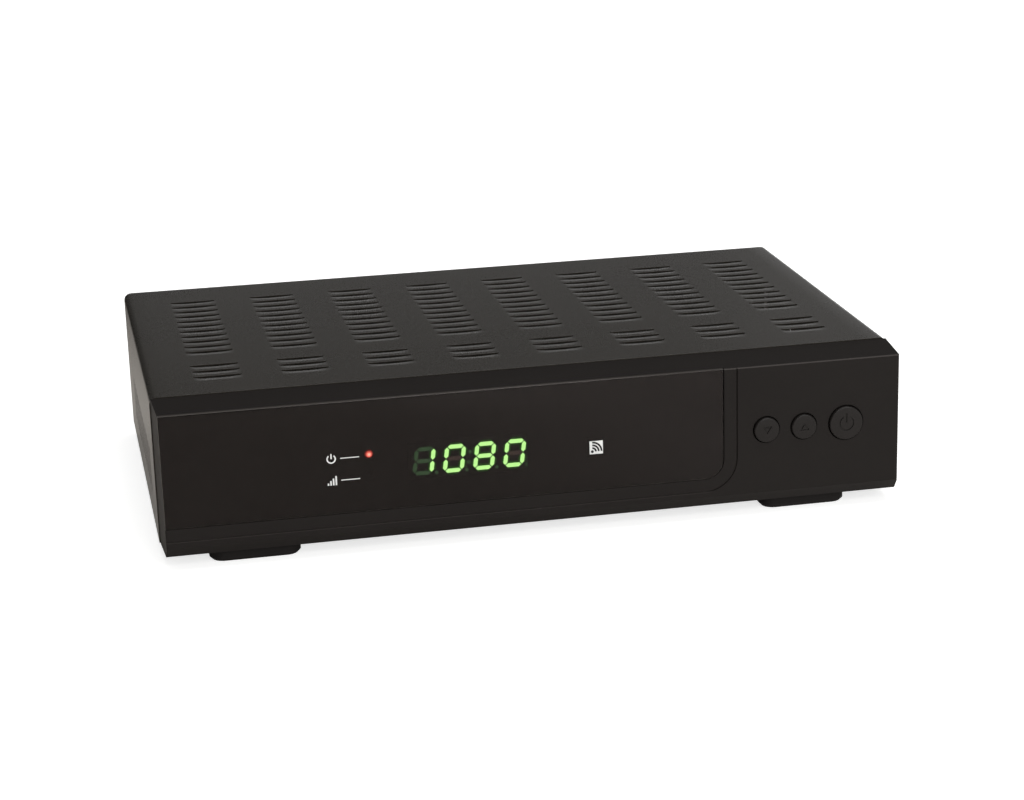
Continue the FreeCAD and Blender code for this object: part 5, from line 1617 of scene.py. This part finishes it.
@dataclass
class Studio:
    """Pale floor, soft lights and the camera. Lengths in millimetres, angles in degrees."""

    boxes: tuple[SoftBox, ...] = (
        SoftBox("Overhead", (300, -100, 1850), 1400, 16.0),
        SoftBox("Front", (500, -1800, 850), 1600, 24.0),
        SoftBox("Rear", (1100, 1700, 620), 1000, 0.25),
    )
    floor_radius: float = 6000.0
    floor_sides: int = 96
    table_centre: Point = (0.0, -500.0, 0.0)
    table_end: tuple[float, float] = (640.0, 950.0)
    floor_lift: float = 0.72
    ceiling: float = 0.34
    mirrored_room: float = 0.07
    eye: Point = (-165.8, -884.4, 296.1)
    azimuth: float = 13.403
    elevation: float = -17.656
    roll: float = -0.991
    lens: float = 88.34
    shift: tuple[float, float] = (-0.09735, 0.03377)

    def build(self) -> None:
        """Set the whole scene around the object."""
        self.lay_floor()
        self.light_world()
        for box in self.boxes:
            box.build()
        self.place_camera()
        bpy.context.scene.view_settings.view_transform = "Standard"

    @staticmethod
    def look(tree: Tree) -> tuple[Socket, Socket]:
        """Tell apart the rays that meet the studio.

        Args:
            tree: The node tree of the floor or the world.

        Returns:
            One for rays that look straight or through the window, and one for reflections.
        """
        path = add_node(tree, "LightPath")
        seen = {0: path["Is Camera Ray"], 1: path["Is Transmission Ray"]}
        straight = add_node(tree, "Math", seen, operation="MAXIMUM")[0]
        return straight, path["Is Glossy Ray"]

    def lay_floor(self) -> None:
        """Lay a white paper floor that keeps the contact shadow.

        Reflections see a table of warmer paper instead, which is brighter on the right and ends
        in a dark room.
        """
        circle = bpy.ops.mesh.primitive_circle_add
        size = {"vertices": self.floor_sides, "radius": self.floor_radius * MM}
        floor = add_shape(circle, "studio_floor", fill_type="NGON", **size)
        material = bpy.data.materials.new("Paper sweep, white")
        tree = blank_tree(material)
        straight, mirrored = self.look(tree)
        where = add_node(tree, "TexCoord")["Object"]
        heart = {0: where, 1: Vector(self.table_centre) * MM}
        away = add_node(tree, "VectorMath", heart, operation="DISTANCE")["Value"]
        near, far = (distance * MM for distance in self.table_end)
        edge = {"Value": away, "From Min": near, "From Max": far}
        beyond = add_node(tree, "MapRange", edge)["Result"]
        dark = add_node(tree, "Math", {0: beyond, 1: mirrored}, operation="MULTIPLY")[0]
        warm = {"Factor": mirrored, 6: linear("#dcdcda"), 7: linear("#dcd4ca")}
        sheet = add_node(tree, "Mix", warm, data_type="RGBA")[2]
        tone = {"Factor": dark, 6: sheet, 7: linear("#2a2928")}
        colour = add_node(tree, "Mix", tone, data_type="RGBA")[2]
        paper = {"Base Color": colour, "Roughness": 0.9, "Specular IOR Level": 0.1}
        shader = add_node(tree, "BsdfPrincipled", paper)[0]
        table = add_node(tree, "Math", {0: mirrored, 1: dark}, operation="SUBTRACT")[0]
        along = add_node(tree, "SeparateXYZ", {"Vector": where})["X"]
        ramp = {"Value": along, "From Min": -0.02, "From Max": 0.1, "To Min": 0.11, "To Max": 0.34}
        right = add_node(tree, "MapRange", ramp)["Result"]
        share = add_node(tree, "Math", {0: table, 1: right}, operation="MULTIPLY")[0]
        both_ways = {0: straight, 1: self.floor_lift, 2: share}
        lifted = add_node(tree, "Math", both_ways, operation="MULTIPLY_ADD")[0]
        glow = add_node(tree, "Emission", {"Strength": lifted})[0]
        both = add_node(tree, "AddShader", {0: shader, 1: glow})[0]
        add_node(tree, "OutputMaterial", {"Surface": both})
        floor.data.materials.append(material)

    def light_world(self) -> None:
        """Surround the object with a white backdrop under a dim ceiling.

        The camera and clear plastic see plain white. Reflections see a dim room with a low white
        wall on the right, which lights the lips of the louvres.
        """
        world = bpy.data.worlds.new("Studio")
        bpy.context.scene.world = world
        tree = blank_tree(world)
        straight, mirrored = self.look(tree)
        where = add_node(tree, "TexCoord")["Generated"]
        way = add_node(tree, "SeparateXYZ", {"Vector": where})
        low = {"Value": way["Z"], "From Min": 0.11, "From Max": 0.16, "To Min": 0.9, "To Max": 0.0}
        wall = add_node(tree, "MapRange", low)["Result"]
        turned = {"Value": way["X"], "From Min": -0.12, "From Max": 0.04}
        right = add_node(tree, "MapRange", turned)["Result"]
        room = {0: wall, 1: right, 2: self.mirrored_room}
        patch = add_node(tree, "Math", room, operation="MULTIPLY_ADD")[0]
        soft = {"Factor": mirrored, 2: self.ceiling, 3: patch}
        lit = add_node(tree, "Mix", soft, data_type="FLOAT")[0]
        level = {"Factor": straight, 2: lit, 3: 1.0}
        strength = add_node(tree, "Mix", level, data_type="FLOAT")[0]
        light = {"Color": (1, 1, 1, 1), "Strength": strength}
        background = add_node(tree, "Background", light)[0]
        add_node(tree, "OutputWorld", {"Surface": background})

    def place_camera(self) -> None:
        """Set the camera at its angle."""
        data = bpy.data.cameras.new("Camera")
        data.lens = self.lens
        data.sensor_width = 36
        data.shift_x, data.shift_y = self.shift
        data.dof.use_dof = False
        data.clip_start, data.clip_end = 0.01, 100
        camera = bpy.data.objects.new("Camera", data)
        turn = Matrix.Rotation(math.radians(-self.azimuth), 4, "Z")
        tilt = Matrix.Rotation(QUARTER + math.radians(self.elevation), 4, "X")
        lean = Matrix.Rotation(math.radians(self.roll), 4, "Z")
        camera.matrix_world = Matrix.Translation(Vector(self.eye) * MM) @ turn @ tilt @ lean
        bpy.context.collection.objects.link(camera)
        bpy.context.scene.camera = camera


def main() -> None:
    """Dress the frame, build the fine pieces and set the studio."""
    logging.basicConfig(level=logging.INFO, format="%(message)s")
    shop = Workshop()
    for finish, nodes in NODE_FINISHES.items():
        for name in nodes:
            shop.paint(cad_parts[name], finish)
    assemblies = (
        VentedCover(shop),
        SegmentDisplay(shop),
        SmokedPlate(shop),
        WindowPrint(shop),
        PushButton(shop, "channel_down", Sign.DOWN),
        PushButton(shop, "channel_up", Sign.UP),
        PushButton(shop, "power", Sign.STANDBY),
        ThreadedPost(shop, "lnb_input_connector"),
        ThreadedPost(shop, "lnb_loop_connector"),
        CrossScrews(shop),
        SocketContacts(shop),
        Studio(),
    )
    for assembly in assemblies:
        assembly.build()


if __name__ == "__main__":
    main()
